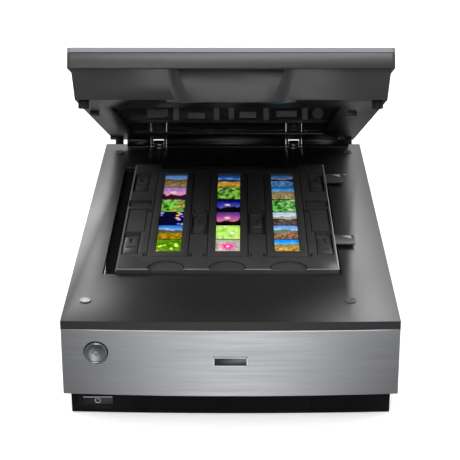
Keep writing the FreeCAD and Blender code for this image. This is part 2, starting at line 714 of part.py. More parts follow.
def make_carriage_body():
    body = new_body("carriage_body")
    front, rear = "carriage_front", "carriage_front + carriage_deep"
    left, right = "carriage_left", "carriage_right"
    block(body, "Pad", (left, right), (front, rear), ("carriage_low", "carriage_high"))
    block(body, "Pocket", (f"{left} + wall", f"{right} - wall"), (f"{front} + wall", f"{rear} - wall"),
          ("carriage_low + wall", "carriage_high - wall"))
    block(body, "Pocket", (f"{left} + 12", f"{right} - 12"), (f"{front} + 24", f"{front} + 34"),
          ("carriage_high - wall", "carriage_high"))
    block(body, "Pocket", (f"{left} + wall", f"{right} - wall"), (f"{front} + 10", f"{front} + 20"),
          ("carriage_high - wall", "carriage_high"))
    block(body, "Pad", both("rod_x", 10), (f"{front} + 4", f"{rear} - 4"), ("rod_z - 9", "carriage_low"))
    rod(body, "Pocket", "Y", ("rod_x", "rod_z"), "rod_r + bush_thick", (front, rear))
    run = "belt_x - pulley_r - run_gap - belt_thick / 2"
    block(body, "Pad", both(run, 4), both(f"{front} + 28", 8), ("belt_z - 2", "carriage_low"))
    block(body, "Pocket", both(run, "belt_thick / 2 + 0.4"), both(f"{front} + 28", 9),
          ("belt_z - 3", "belt_z + belt_wide + 0.5"))
    block(body, "Pad", ("rail_left + 2", "rail_right - 2"), (f"{front} + 10", f"{rear} - 10"),
          ("rail_z + rail_thick + run_gap", "carriage_low"))


def make_carriage_bushes():
    body = new_body("carriage_bushes")
    for start in ("carriage_front + 4", "carriage_front + carriage_deep - bush_long - 4"):
        rod(body, "Pad", "Y", ("rod_x", "rod_z"), "rod_r + bush_thick", (start, f"{start} + bush_long"))
    rod(body, "Pocket", "Y", ("rod_x", "rod_z"), "rod_r + run_gap",
        ("carriage_front", "carriage_front + carriage_deep"))


def make_scan_lamp():
    body = new_body("scan_lamp")
    place = ("carriage_front + 15", "carriage_high - 4")
    rod(body, "Pad", "X", place, "3.2", ("carriage_left + 12", "carriage_right - 12"))
    for start in ("carriage_left + wall", "carriage_right - 12"):
        rod(body, "Pad", "X", place, "3.9", (start, f"{start} + 9.5"))


def make_mirrors():
    """Three strips that fold the light path; each leans in the plane across the carriage."""
    body = new_body("mirrors")
    for along, low, lean in ((22, 44, 10), (12, 60, 10), (14, 38, -9)):
        foot = f"carriage_front + {along}"
        prism(body, "Pad", "X", ("carriage_left + 14", "carriage_right - 14"),
              [(foot, low), (f"{foot} + 2", low), (f"{foot} + 2 + {lean}", low + 13), (f"{foot} + {lean}", low + 13)])


def make_lens_unit():
    body = new_body("lens_unit")
    middle = "(carriage_left + carriage_right) / 2"
    along = ("carriage_front + 36", "carriage_front + 48")
    block(body, "Pad", both(middle, 24), along, ("carriage_low + wall", "46"))
    for shift in ("-11", "11"):
        rod(body, "Pad", "Y", (f"{middle} + {shift}", "52"), "7", along)


def make_ccd_board():
    body = new_body("ccd_board")
    middle = "(carriage_left + carriage_right) / 2"
    rear = "carriage_front + carriage_deep - wall"
    block(body, "Pad", both(middle, 42), (f"{rear} - 2", f"{rear} - 0.4"), ("38", "72"))
    block(body, "Pad", both(middle, 24), (f"{rear} - 4.4", f"{rear} - 2"), ("46", "58"))


# ---------------------------------------------------------------- electronics and sockets

def make_main_board():
    body = new_body("main_board")
    face = "board_z + board_thick"
    block(body, "Pad", ("board_left", "board_right"), ("board_front", "board_rear"), ("board_z", face))
    for left, front, wide, deep, high in ((-20, 80, 28, 28, 2.4), (30, 110, 20, 14, 2), (30, 70, 14, 14, 2),
                                          (-40, 150, 10, 24, 8), (60, 60, 20, 8, 7), (-40, 60, 12, 8, 6)):
        block(body, "Pad", (left, left + wide), (front, front + deep), (face, f"{face} + {high}"))
    for across, along in ((60, 150), (72, 150), (60, 164), (72, 164)):
        rod(body, "Pad", "Z", (across, along), "4", (face, f"{face} + 10.4"))
    for across in ("board_left + 4", "board_right - 4"):
        for along in ("board_front + 4", "board_rear - 4"):
            rod(body, "Pad", "Z", (across, along), "3", ("tray_z + wall", "board_z"))


def make_power_supply():
    body = new_body("power_supply")
    block(body, "Pad", ("supply_left", "supply_right"), ("supply_front", "supply_rear"),
          ("tray_z + wall", "supply_high"))
    for index in range(7):
        left = f"supply_left + {6 + 12 * index}"
        block(body, "Pocket", (left, f"{left} + 6"), ("supply_front - 1", "supply_rear + 1"),
              ("supply_high - 6", "supply_high"))


def make_ac_inlet():
    """Three-pin appliance inlet with its pins."""
    body = new_body("ac_inlet")
    block(body, "Pad", ("inlet_left", "inlet_right"), ("rear_y - 18", "rear_y"), ("inlet_low", "inlet_high"))
    block(body, "Pad", ("inlet_left - 2", "inlet_right + 2"), ("rear_y", "rear_y + 1"),
          ("inlet_low - 2", "inlet_high + 2"))
    block(body, "Pocket", ("inlet_left + 2", "inlet_right - 2"), ("rear_y - 15", "rear_y + 1"),
          ("inlet_low + 2", "inlet_high - 2"))
    for across, up in ((14, 11), (7, 6), (21, 6)):
        low = f"inlet_low + {up}"
        block(body, "Pad", both(f"inlet_left + {across}", 1), ("rear_y - 15", "rear_y - 6"), (low, f"{low} + 4"))


def make_signal_ports():
    """A square data socket and the wide socket for the lid's cable."""
    body = new_body("signal_ports")
    for port, side, rim, tongue, low, high in (("data", 1.6, 1.4, 4, 4, 4), ("cable", 3, 2.5, 7, 6, 6)):
        block(body, "Pad", (f"{port}_left", f"{port}_right"), ("rear_y - 13", "rear_y + 0.6"),
              (f"{port}_low", f"{port}_high"))
        block(body, "Pocket", (f"{port}_left + {side}", f"{port}_right - {side}"), ("rear_y - 11", "rear_y + 1"),
              (f"{port}_low + {rim}", f"{port}_high - {rim}"))
        block(body, "Pad", (f"{port}_left + {tongue}", f"{port}_right - {tongue}"),
              ("rear_y - 11", "rear_y - 5"), (f"{port}_low + {low}", f"{port}_high - {high}"))


# ---------------------------------------------------------------- hinge

def make_hinge_post(name, middle):
    body = new_body(name)
    across = both(middle, "post_half")
    block(body, "Pad", across, ("post_front", "post_rear"), ("post_low", "top_z"))
    block(body, "Pad", across, ("hinge_y - knuckle_r", "post_rear"), ("top_z", "hinge_z"))
    rod(body, "Pad", "X", ("hinge_y", "hinge_z"), "knuckle_r", across)
    rod(body, "Pocket", "X", ("hinge_y", "hinge_z"), "pin_r", across)


def make_hinge_pins():
    body = new_body("hinge_pins")
    for middle in hinge_middles():
        rod(body, "Pad", "X", ("hinge_y", "hinge_z"), "pin_r", both(middle, "ear_out + 0.1"))


# ---------------------------------------------------------------- lid

def lid_placement():
    """The lid turned up about its hinge axis."""
    axis = Vector(0, size("hinge_y"), size("hinge_z"))
    return Placement(Vector(), Rotation(Vector(1, 0, 0), -size("lid_rest")), axis)


def lid_body(name):
    body = new_body(name)
    body.Placement = lid_placement()
    return body


def lid_plan(half_front, half_rear, front, rear):
    return [
        (f"lid_x - ({half_front})", front),
        (f"lid_x + ({half_front})", front),
        (f"lid_x + ({half_rear})", rear),
        (f"lid_x - ({half_rear})", rear),
    ]


def make_lid_frame():
    """The tapered lower shell with its window, grip and screw bosses."""
    body = lid_body("lid_frame")
    low = lid_plan("under_half_front", "under_half_rear", "under_front", "under_rear")
    high = lid_plan("frame_half", "frame_half", "frame_front", "frame_rear")
    loft(body, "AdditiveLoft", ("lid_low", low), ("lid_join", high))
    prism(body, "Pad", "Z", ("lid_join", "frame_top"), high)
    inner_low = lid_plan("under_half_front - wall", "under_half_rear - wall", "under_front + wall", "under_rear - wall")
    inner_high = lid_plan("frame_half - wall", "frame_half - wall", "frame_front + wall", "frame_rear - wall")
    loft(body, "SubtractiveLoft", ("lid_low + floor_thick", inner_low), ("lid_join", inner_high))
    prism(body, "Pocket", "Z", ("lid_join", "frame_top"), inner_high)
    block(body, "Pad", both("lid_x", "grip_out + wall"), ("under_front + 1", "under_front + grip_shallow + 3"),
          ("lid_low + 1", "frame_top"))
    block(body, "Pad", both("lid_x", "grip_out"), ("under_front + grip_shallow - 4.5", "under_front + 18"),
          ("lid_low - grip_lip", "lid_low + 1"))
    cut_grip(body)
    prism(body, "Pad", "X", ("barrel_left", "barrel_right"),
          [("hinge_y + barrel_r", "hinge_z"), ("hinge_y + barrel_r", "lid_low + floor_thick"),
           ("hinge_y - barrel_r", "lid_low + floor_thick"), ("hinge_y - barrel_r", "hinge_z"),
           ("via", "hinge_y", "hinge_z - barrel_r")])
    block(body, "Pocket", ("window_left", "window_right"), ("window_front", "window_rear"),
          ("lid_low", "lid_low + floor_thick"))
    for middle in hinge_middles():
        block(body, "Pocket", both(middle, "ear_out + ear_gap"), ("hinge_y - 12", "frame_rear + 1"),
              ("hinge_z - barrel_r - 1", "frame_top"))
    for across in ("lid_x - 135", "lid_x + 135"):
        for along in ("-190", "222"):
            rod(body, "Pad", "Z", (across, along), "4", ("lid_low + floor_thick", "frame_top"))


def cut_grip(body):
    """Finger grip with S-shaped ends: deepest under the rim and open at the lower edge, over a hanging lip."""
    bends = ((0, 0), (0.2, 0.0955), (0.4, 0.3455), (0.6, 0.6545), (0.8, 0.9045), (1, 1))

    def section(front, deep):
        def edge(side):
            return [
                (f"lid_x {side} (grip_out - {inward} * (grip_out - grip_in))", f"{front} + {share} * {deep}")
                for inward, share in bends
            ]

        corners = [(f"lid_x {side} grip_out", f"{front} - 3") for side in "-+"]
        return corners + edge("+") + edge("-")[::-1]

    loft(body, "SubtractiveLoft", ("lid_low - grip_lip", section("under_front", "grip_shallow")),
         ("lid_join", section("frame_front", "grip_deep")))


def make_lid_cover():
    body = lid_body("lid_cover")
    block(body, "Pad", both("lid_x", "lid_half"), ("lid_front", "lid_rear"), ("lid_join", "lid_band"))
    soften(body, "Fillet", 3, upright)
    block(body, "Pocket", both("lid_x", "frame_half + 0.1"), ("frame_front - 0.1", "frame_rear + 0.1"),
          ("lid_join", "lid_band - wall"))


def make_lid_top_panel():
    body = lid_body("lid_top_panel")
    block(body, "Pad", both("lid_x", "lid_half"), ("lid_front", "lid_rear"), ("lid_band", "lid_high"))
    soften(body, "Fillet", 3, upright)
    high = size("lid_high")
    soften(body, "Fillet", 1, lambda e: abs(e.BoundBox.ZMin - high) < 0.01)


def make_lid_window():
    body = lid_body("lid_window")
    block(body, "Pad", ("window_left - window_lap", "window_right + window_lap"),
          ("window_front - window_lap", "window_rear + window_lap"),
          ("lid_low + floor_thick", "lid_low + floor_thick + window_thick"))


def make_lid_chassis():
    """Pressed pan with end tabs for the guide rod and a pin for the idler."""
    body = lid_body("lid_chassis")
    ends = ("lid_rod_front - 1", "lid_rod_rear + 1")
    block(body, "Pad", both("lid_x", 138), ends, ("frame_top", "frame_top + 1.5"))
    for start in ("lid_rod_front", "lid_rod_rear - 3"):
        block(body, "Pad", both("lid_rod_x", 5), (start, f"{start} + 3"), ("lid_rod_z - 6", "frame_top"))
    rod(body, "Pocket", "Y", ("lid_rod_x", "lid_rod_z"), "lid_rod_r", ends)
    rod(body, "Pad", "Z", ("lid_belt_x", "lid_idler_y"), "lid_shaft_r", ("lid_belt_z - 2", "frame_top"))


def make_hinge_leaves():
    body = lid_body("hinge_leaves")
    for middle in hinge_middles():
        block(body, "Pad", both(middle, "ear_out"), ("hinge_y - 11", "hinge_y + ear_r"),
              ("frame_top - leaf_thick", "frame_top"))
        block(body, "Pad", both(middle, "ear_out"), ("hinge_y + ear_r - web_thick", "hinge_y + ear_r"),
              ("hinge_z + web_drop", "frame_top - leaf_thick"))
        for low, high in ((f"{middle} - ear_out", f"{middle} - ear_in"), (f"{middle} + ear_in", f"{middle} + ear_out")):
            prism(body, "Pad", "X", (low, high),
                  [("hinge_y + ear_r", "hinge_z"), ("hinge_y + ear_r", "frame_top - leaf_thick"),
                   ("hinge_y - ear_r", "frame_top - leaf_thick"), ("hinge_y - ear_r", "hinge_z"),
                   ("via", "hinge_y", "hinge_z - ear_r")])
            rod(body, "Pocket", "X", ("hinge_y", "hinge_z"), "pin_r + run_gap", (low, high))


def make_mat_hooks():
    body = lid_body("mat_hooks")
    for across, along in ((-134, -100), (118.5, -100), (-140, 195), (128, 195)):
        wide = both(across, "hook_half")
        block(body, "Pad", wide, (along - 4, along - 1), ("lid_low - hook_drop", "lid_low"))
        block(body, "Pad", wide, (along - 1, along + 4), ("lid_low - hook_drop", "lid_low - hook_drop + 1.4"))


def make_lid_bumpers():
    body = lid_body("lid_bumpers")
    for place in (("-bumper_x", "pad_front_y"), ("bumper_x", "pad_front_y")) + PAD_PLACES[2:]:
        rod(body, "Pad", "Z", place, "bumper_r", ("top_z + pad_high + 0.3", "lid_low"))


def make_lid_guide_rod():
    body = lid_body("lid_guide_rod")
    rod(body, "Pad", "Y", ("lid_rod_x", "lid_rod_z"), "lid_rod_r", ("lid_rod_front", "lid_rod_rear"))


def make_lid_motor():
    body = lid_body("lid_motor")
    block(body, "Pad", both("lid_belt_x", "lid_motor_half"), both("lid_motor_y", "lid_motor_half"),
          ("lid_low + floor_thick + 4", "lid_belt_z - 2"))
    soften(body, "Chamfer", 3, upright)
    rod(body, "Pocket", "Z", ("lid_belt_x", "lid_motor_y"), "lid_shaft_r + run_gap", ("118", "lid_belt_z"))


def make_lid_belt():
    body = belt_loop("lid_belt", "lid_belt_x", "lid_belt_z", "lid_pulley_r", ("lid_motor_y", "lid_idler_y"),
                     wide="lid_belt_wide")
    body.Placement = lid_placement()


def make_lid_drive_pulley():
    body = lid_body("lid_drive_pulley")
    pulley(body, "lid_belt_x", "lid_motor_y", "lid_pulley_r", "lid_belt_z", "lid_belt_wide")
    rod(body, "Pad", "Z", ("lid_belt_x", "lid_motor_y"), "lid_shaft_r", ("120", "lid_belt_z"))


def make_lid_idler_pulley():
    body = lid_body("lid_idler_pulley")
    pulley(body, "lid_belt_x", "lid_idler_y", "lid_pulley_r", "lid_belt_z", "lid_belt_wide")
    rod(body, "Pocket", "Z", ("lid_belt_x", "lid_idler_y"), "lid_shaft_r + run_gap", ("lid_belt_z - 2", "frame_top"))


def make_lid_light_unit():
    body = lid_body("lid_light_unit")
    front, rear = "light_front", "light_front + light_deep"
    block(body, "Pad", ("-112", "lid_rod_x + 6"), (front, rear), ("light_low", "light_high"))
    block(body, "Pocket", ("-109", "112"), (f"{front} + 3", f"{rear} - 3"), ("light_low + 4", "light_high"))
    rod(body, "Pocket", "Y", ("lid_rod_x", "lid_rod_z"), "lid_rod_r + run_gap", (front, rear))
    block(body, "Pocket", both("lamp_x", "lamp_half"), (f"{front} + lamp_lap", f"{rear} - lamp_lap"),
          ("light_low", "light_low + 4"))
    run = "lid_belt_x + lid_pulley_r + run_gap + belt_thick / 2"
    block(body, "Pad", both(run, 3), (f"{front} + 3", f"{front} + 15"), ("light_low + 4", "frame_top - 1.5"))
    block(body, "Pocket", both(run, "belt_thick / 2 + 0.4"), (f"{front} + 2", f"{front} + 16"),
          ("lid_belt_z - 0.5", "frame_top"))


def make_lid_lamp():
    body = lid_body("lid_lamp")
    block(body, "Pad", both("lamp_x", "lamp_half"),
          ("light_front + lamp_lap", "light_front + light_deep - lamp_lap"),
          ("light_low - 0.6", "light_low + 2"))


# ---------------------------------------------------------------- film holder

BAYS = {"left": "holder_x - bay_pitch", "middle": "holder_x", "right": "holder_x + bay_pitch"}
WELLS = {
    "front_left": ("holder_x - well_x", "well_front_y"),
    "front_right": ("holder_x + well_x", "well_front_y"),
    "rear_left": ("holder_x - well_x", "well_rear_y"),
    "rear_right": ("holder_x + well_x", "well_rear_y"),
    "middle_left": ("holder_x - well_mid_x", "well_mid_y"),
    "middle_right": ("holder_x + well_mid_x", "well_mid_y"),
}


def make_holder_frame():
    body = new_body("holder_frame")
    left, right = both("holder_x", "holder_half")
    step_left, step_right = both("holder_x", "holder_step_half")
    prism(body, "Pad", "Z", ("holder_low", "holder_high"),
          [(left, "holder_front"), (right, "holder_front"), (right, "holder_rear"), (step_right, "holder_rear"),
           (step_right, "holder_step"), (step_left, "holder_step"), (step_left, "holder_rear"),
           (left, "holder_rear")])
    block(body, "Pocket", (f"{left} + 3", f"{right} - 3"), ("holder_front + 3", "holder_step - 3"),
          ("holder_low", "holder_deck"))
    for tab in ("tab_front", "tab_rear"):
        block(body, "Pad", (f"{right} - 1", "tab_end"), both(f"{tab}_y", f"{tab}_half"),
              ("holder_high - tab_drop - tab_thick", "holder_high - tab_drop"))
    prism(body, "Pocket", "Y", ("holder_front", "holder_rear"),
          [(left, "holder_high - slope_deep"), (f"{left} + slope_wide", "holder_high"),
           (f"{left} - 1", "holder_high"), (f"{left} - 1", "holder_high - slope_deep")])
    for middle in BAYS.values():
        cut_bay(body, middle)
    for middle, front in WELLS.values():
        cut_well(body, middle, front)
    for side in ("-", "+"):
        cut_side_recesses(body, side)


def cut_bay(body, middle):
    """Seat for one film cover, its strip, its latches and its hinge pins, with a finger scoop in front."""
    block(body, "Pocket", both(middle, "cover_half + cover_gap"),
          ("cover_front - cover_gap", "cover_axis_y + cover_r + cover_gap"),
          ("cover_axis_z - cover_r - 0.2", "holder_high"))
    block(body, "Pocket", both(middle, "film_half + 0.3"), ("film_front - 0.4", "film_rear + 0.4"),
          ("film_z", "holder_high"))
    block(body, "Pocket", both(middle, "pane_half"), ("pane_front", "pane_rear"), ("holder_deck - 1", "holder_high"))
    rod(body, "Pocket", "X", ("cover_axis_y", "cover_axis_z"), "cover_pin_r + run_gap",
        both(middle, "cover_half + 2"))
    for sign in ("-", "+"):
        for along in ("latch_front", "latch_rear"):
            block(body, "Pocket", both(f"{middle} {sign} latch_x", "latch_half"), both(along, "latch_long"),
                  ("holder_deck - 1", "holder_high"))
    prism(body, "Pocket", "Z", ("holder_high - 1.5", "holder_high"),
          [(f"{middle} - scoop_half", "holder_front"), (f"{middle} + scoop_half", "holder_front"),
           ("via", middle, "holder_front + scoop_deep")])


def cut_well(body, middle, front):
    block(body, "Pocket", both(middle, "well_half"), (front, f"{front} + well_long"), ("well_z", "holder_high"))
    block(body, "Pocket", both(middle, "slot_half"), (f"{front} + 11.5", f"{front} + 32"),
          ("holder_deck - 1", "well_z"))


def cut_side_recesses(body, side):
    for near, far, front, rear, deep in ((84.2, 107.6, 27.7, 45.6, 2.4), (86.7, 106.2, -43.7, 19.7, 0.7)):
        ends = sorted((f"holder_x {side} {near}", f"holder_x {side} {far}"), key=size)
        block(body, "Pocket", ends, (front, rear), (f"holder_high - {deep}", "holder_high"))


def make_film_cover(name, middle):
    """Thin frame over one strip, with a round back edge and two hinge pins."""
    body = new_body(name)
    block(body, "Pad", both(middle, "cover_half"), ("cover_front", "cover_axis_y"),
          ("cover_axis_z - cover_r", "cover_axis_z + cover_r"))
    rod(body, "Pad", "X", ("cover_axis_y", "cover_axis_z"), "cover_r", both(middle, "cover_half"))
    block(body, "Pocket", both(middle, "pane_half"), ("pane_front", "pane_rear"),
          ("cover_axis_z - cover_r", "cover_axis_z + cover_r"))
    rod(body, "Pad", "X", ("cover_axis_y", "cover_axis_z"), "cover_pin_r", both(middle, "cover_half + 1.7"))


def make_film_strips():
    body = new_body("film_strips")
    for middle in BAYS.values():
        block(body, "Pad", both(middle, "film_half"), ("film_front", "film_rear"), ("film_z", "film_z + film_thick"))


def make_height_adjuster(name, middle, front):
    """Slider with a foot on the glass, a thumb bar, a pad and a slit."""
    body = new_body(name)
    low, high = "well_z + 0.3", "well_z + 1.4"
    block(body, "Pad", both(middle, "well_half - 0.4"), (f"{front} + 0.5", f"{front} + 0.5 + slider_long"), (low, high))
    block(body, "Pad", both(middle, "slot_half - 0.3"), (f"{front} + 12", f"{front} + 20"),
          ("top_z - cover_thick + run_gap", low))
    block(body, "Pad", both(middle, 4.6), (f"{front} + 20", f"{front} + 25"), (high, "holder_high - 0.05"))
    block(body, "Pad", both(middle, 5.4), (f"{front} + 2", f"{front} + 17"), (high, f"{high} + 0.5"))
    block(body, "Pocket", both(middle, 1.4), (f"{front} + 33", f"{front} + 44"), (low, high))


# ---------------------------------------------------------------- build and write

def build():
    fill_sheet()
    make_base_tray()
    make_upper_housing()
    make_front_panel()
    make_blank_badge()
    make_base_screws()
    make_rubber_feet()
    make_platen_glass()
    make_corner_pads()
    make_button_bezel()
    make_start_button()
    make_button_board()
    make_power_button()
    make_transport_lock()
    make_guide_rod()
    make_guide_rail()
    make_timing_belt()
    make_motor_pulley()
    make_idler_pulley()
    make_idler_bracket()
    make_stepper_motor()
    make_motor_bracket()
    make_carriage_body()
    make_carriage_bushes()
    make_scan_lamp()
    make_mirrors()
    make_lens_unit()
    make_ccd_board()
    make_main_board()
    make_power_supply()
    make_ac_inlet()
    make_signal_ports()
    for side, middle in zip(("left", "right"), hinge_middles()):
        make_hinge_post("hinge_post_" + side, middle)
    make_hinge_pins()
    make_lid_frame()
    make_lid_cover()
    make_lid_top_panel()
    make_lid_window()
    make_lid_chassis()
    make_hinge_leaves()
    make_mat_hooks()
    make_lid_bumpers()
    make_lid_guide_rod()
    make_lid_motor()
    make_lid_belt()
    make_lid_drive_pulley()
    make_lid_idler_pulley()
    make_lid_light_unit()
    make_lid_lamp()
    make_holder_frame()
    for side, middle in BAYS.items():
        make_film_cover("film_cover_" + side, middle)
    make_film_strips()
    for place, (middle, front) in WELLS.items():
        make_height_adjuster("height_adjuster_" + place, middle, front)
    doc.recompute()


def check():
    for item in doc.Objects:
        if {"Invalid", "Error"} & set(item.State):
            raise RuntimeError(f"{item.Name} failed: {item.State}")
    for piece in PIECES:
        if piece.Shape.isNull() or not piece.Shape.isValid():
            raise RuntimeError(f"{piece.Label} has no valid shape")


def write():
    os.makedirs("parts", exist_ok=True)
    for piece in PIECES:
        piece.Shape.exportStep(f"parts/{piece.Label}.step")


build()
check()
write()
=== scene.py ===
"""Looks of the flatbed scanner: softened shells, materials, film pictures, printed marks, painted shadow lines and
painted sheen.
"""
import json
import math

import bmesh
import bpy
import numpy as np
from mathutils import Matrix, Vector


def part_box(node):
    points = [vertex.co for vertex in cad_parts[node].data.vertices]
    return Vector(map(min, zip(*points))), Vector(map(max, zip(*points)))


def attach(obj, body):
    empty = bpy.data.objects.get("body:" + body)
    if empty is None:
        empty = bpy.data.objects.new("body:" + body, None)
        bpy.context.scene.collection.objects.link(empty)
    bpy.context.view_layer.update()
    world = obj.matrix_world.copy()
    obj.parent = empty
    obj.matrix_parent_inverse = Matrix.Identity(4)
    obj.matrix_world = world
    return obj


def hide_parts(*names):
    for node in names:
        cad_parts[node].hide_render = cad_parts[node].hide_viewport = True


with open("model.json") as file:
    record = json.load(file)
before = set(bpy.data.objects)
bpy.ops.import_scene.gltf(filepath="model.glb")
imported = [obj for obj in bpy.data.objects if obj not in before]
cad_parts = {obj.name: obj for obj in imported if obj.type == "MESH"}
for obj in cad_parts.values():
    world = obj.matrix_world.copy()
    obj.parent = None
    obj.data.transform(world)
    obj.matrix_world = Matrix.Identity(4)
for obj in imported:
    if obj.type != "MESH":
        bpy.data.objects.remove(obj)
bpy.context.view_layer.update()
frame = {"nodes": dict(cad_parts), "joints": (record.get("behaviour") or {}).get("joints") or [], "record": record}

NODES = frame["nodes"]
JOINTS = {joint["name"]: joint for joint in frame["joints"]}
MM = 0.001
MARK_LIFT = 0.03 * MM          # how far printed marks stand off their surface


# ---------------------------------------------------------------- shader helpers

class Shader:
    """A material built round one Principled shader."""

    def __init__(self, name, colour, roughness, metallic=0.0, **sockets):
        self.material = bpy.data.materials.new(name)
        self.material.use_nodes = True
        self.tree = self.material.node_tree
        self.main = self.tree.nodes["Principled BSDF"]
        self.main.inputs["Base Color"].default_value = (*colour, 1)
        self.main.inputs["Roughness"].default_value = roughness
        self.main.inputs["Metallic"].default_value = metallic
        for socket, value in sockets.items():
            self.main.inputs[socket.replace("_", " ")].default_value = value
        self.colour = colour
        self.roughness = roughness
        self.bumps = None

    def add(self, kind, links=(), **values):
        node = self.tree.nodes.new("ShaderNode" + kind)
        for key, value in values.items():
            setattr(node, key, value)
        for socket, source in links:
            if hasattr(source, "is_output"):
                self.tree.links.new(source, node.inputs[socket])
            else:
                node.inputs[socket].default_value = source
        return node

    def place(self, scale=(1, 1, 1)):
        """Object coordinates in metres, stretched."""
        coordinates = self.add("TexCoord")
        return self.add("Mapping", [("Vector", coordinates.outputs["Object"]), ("Scale", scale)]).outputs[0]

    def cloud(self, scale, detail=2.0, stretch=(1, 1, 1), rough=0.5):
        links = [("Vector", self.place(stretch)), ("Scale", scale), ("Detail", detail),
                 ("Roughness", rough)]
        return self.add("TexNoise", links).outputs["Fac"]

    def spread(self, source, low, high, from_low=0.3, from_high=0.7):
        links = [("Value", source), ("From Min", from_low), ("From Max", from_high),
                 ("To Min", low), ("To Max", high)]
        return self.add("MapRange", links).outputs[0]

    def tint(self, source, low=0.85, high=1.15):
        """Lightens and darkens the base colour by a pattern."""
        mix = self.add("Mix", data_type="RGBA")
        mix.inputs["A"].default_value = (*[c * low for c in self.colour], 1)
        mix.inputs["B"].default_value = (*[c * high for c in self.colour], 1)
        self.tree.links.new(self.spread(source, 0, 1), mix.inputs["Factor"])
        self.tree.links.new(mix.outputs["Result"], self.main.inputs["Base Color"])
        return self

    def wear(self, source, amount=0.06):
        """Varies the roughness by a pattern."""
        level = self.spread(source, self.roughness - amount, self.roughness + amount)
        self.tree.links.new(level, self.main.inputs["Roughness"])
        return self

    def bump(self, source, depth, strength=1.0):
        """Adds relief of a depth in metres on top of what is there."""
        links = [("Height", source), ("Distance", depth), ("Strength", strength)]
        if self.bumps:
            links.append(("Normal", self.bumps))
        self.bumps = self.add("Bump", links).outputs[0]
        self.tree.links.new(self.bumps, self.main.inputs["Normal"])
        return self


def moulded(name, colour, roughness, grain=2600, depth=0.00003, mottle=0.1, **sockets):
    """Moulded plastic with a spark-eroded grain, faint mottling and handled patches."""
    shader = Shader(name, colour, roughness, **sockets)
    shader.tint(shader.cloud(18, 3), 1 - mottle, 1 + mottle)
    shader.wear(shader.cloud(9, 4), mottle * 0.4)
    shader.bump(shader.cloud(grain, 2, rough=0.6), depth)
    return shader.material


def brushed(name, colour, roughness, along, anisotropic=0.55):
    """Brushed metal; along is the stretch that draws the grain out on one axis."""
    shader = Shader(name, colour, roughness, 1.0, Anisotropic=anisotropic, Anisotropic_Rotation=0.25)
    tangent = shader.add("Tangent", direction_type="UV_MAP", uv_map="grain")
    shader.tree.links.new(tangent.outputs[0], shader.main.inputs["Tangent"])
    fine = shader.cloud(1, 3, along, 0.65)
    shader.tint(fine, 0.92, 1.07)
    shader.wear(shader.cloud(0.35, 2, along), 0.04)
    shader.bump(fine, 0.000006)
    return shader.material


def plain_metal(name, colour, roughness, scratch=900):
    shader = Shader(name, colour, roughness, 1.0)
    shader.tint(shader.cloud(60, 4), 0.85, 1.1)
    shader.wear(shader.cloud(scratch, 3, (1, 0.1, 1)), 0.08)
    shader.bump(shader.cloud(scratch, 2, (1, 0.08, 1)), 0.000008)
    return shader.material


def rubber(name, colour, roughness=0.75):
    shader = Shader(name, colour, roughness, Specular_IOR_Level=0.35)
    shader.tint(shader.cloud(40, 4), 0.85, 1.2)
    shader.wear(shader.cloud(300, 3), 0.08)
    shader.bump(shader.cloud(3500, 2), 0.00002)
    return shader.material


def clear_glass(name, colour, alpha):
    """Thin float glass: see-through, with its green tint, faint dust and smears."""
    shader = Shader(name, colour, 0.03, IOR=1.5, Specular_IOR_Level=0.5)
    smear = shader.cloud(30, 5)
    shader.wear(smear, 0.02)
    level = shader.spread(shader.cloud(1400, 3), alpha, alpha + 0.05, 0.55, 0.8)
    shader.tree.links.new(level, shader.main.inputs["Alpha"])
    shader.bump(smear, 0.000002)
    return shader.material


def circuit_board(name):
    """Green solder mask over fine copper tracks."""
    shader = Shader(name, (0.012, 0.09, 0.035), 0.35, Coat_Weight=0.3)
    links = [("Vector", shader.place()), ("Scale", 420)]
    tracks = shader.add("TexVoronoi", links, distance="MANHATTAN", feature="F1").outputs["Distance"]
    shader.tint(tracks, 0.7, 2.2)
    shader.wear(shader.cloud(200, 2), 0.08)
    shader.bump(tracks, 0.00003)
    return shader.material


def glow(name, colour, strength):
    """Opal plastic lit from inside."""
    shader = Shader(name, colour, 0.35, Emission_Strength=strength, Emission_Color=(*colour, 1))
    shader.tint(shader.cloud(25, 3), 0.95, 1.0)
    shader.bump(shader.cloud(1800, 2), 0.00001)
    return shader.material


def ink(name, colour, **sockets):
    """Pad-printed ink with a slightly uneven edge-to-edge cover; in near black it also makes painted shadow lines.
    """
    shader = Shader(name, colour, 0.55, **sockets)
    shader.tint(shader.cloud(900, 3), 0.85, 1.05)
    shader.bump(shader.cloud(2400, 2), 0.00001)
    return shader.material


def ringed(name, colour, rim, axis, radius):
    """Bright ring with a dark line round its outside, the line being painted shade of the gap round the ring; axis
    is a point on its middle line along Y.
    """
    shader = Shader(name, colour, 0.42, 0.9)
    place = shader.add("TexCoord").outputs["Object"]
    shifted = shader.add("VectorMath", [(0, place), (1, axis)], operation="SUBTRACT")
    flat = shader.add("VectorMath", [(0, shifted.outputs[0]), (1, (1, 0, 1))], operation="MULTIPLY")
    reach = shader.add("VectorMath", [(0, flat.outputs[0])], operation="LENGTH").outputs["Value"]
    line = shader.spread(reach, 0, 1, radius - 0.0001, radius + 0.0001)
    mix = shader.add("Mix", [("Factor", line)], data_type="RGBA")
    mix.inputs["A"].default_value = (*colour, 1)
    mix.inputs["B"].default_value = (*rim, 1)
    shader.tree.links.new(mix.outputs["Result"], shader.main.inputs["Base Color"])
    shader.wear(shader.cloud(400, 3), 0.05)
    shader.bump(shader.cloud(1800, 2), 0.000004)
    return shader.material


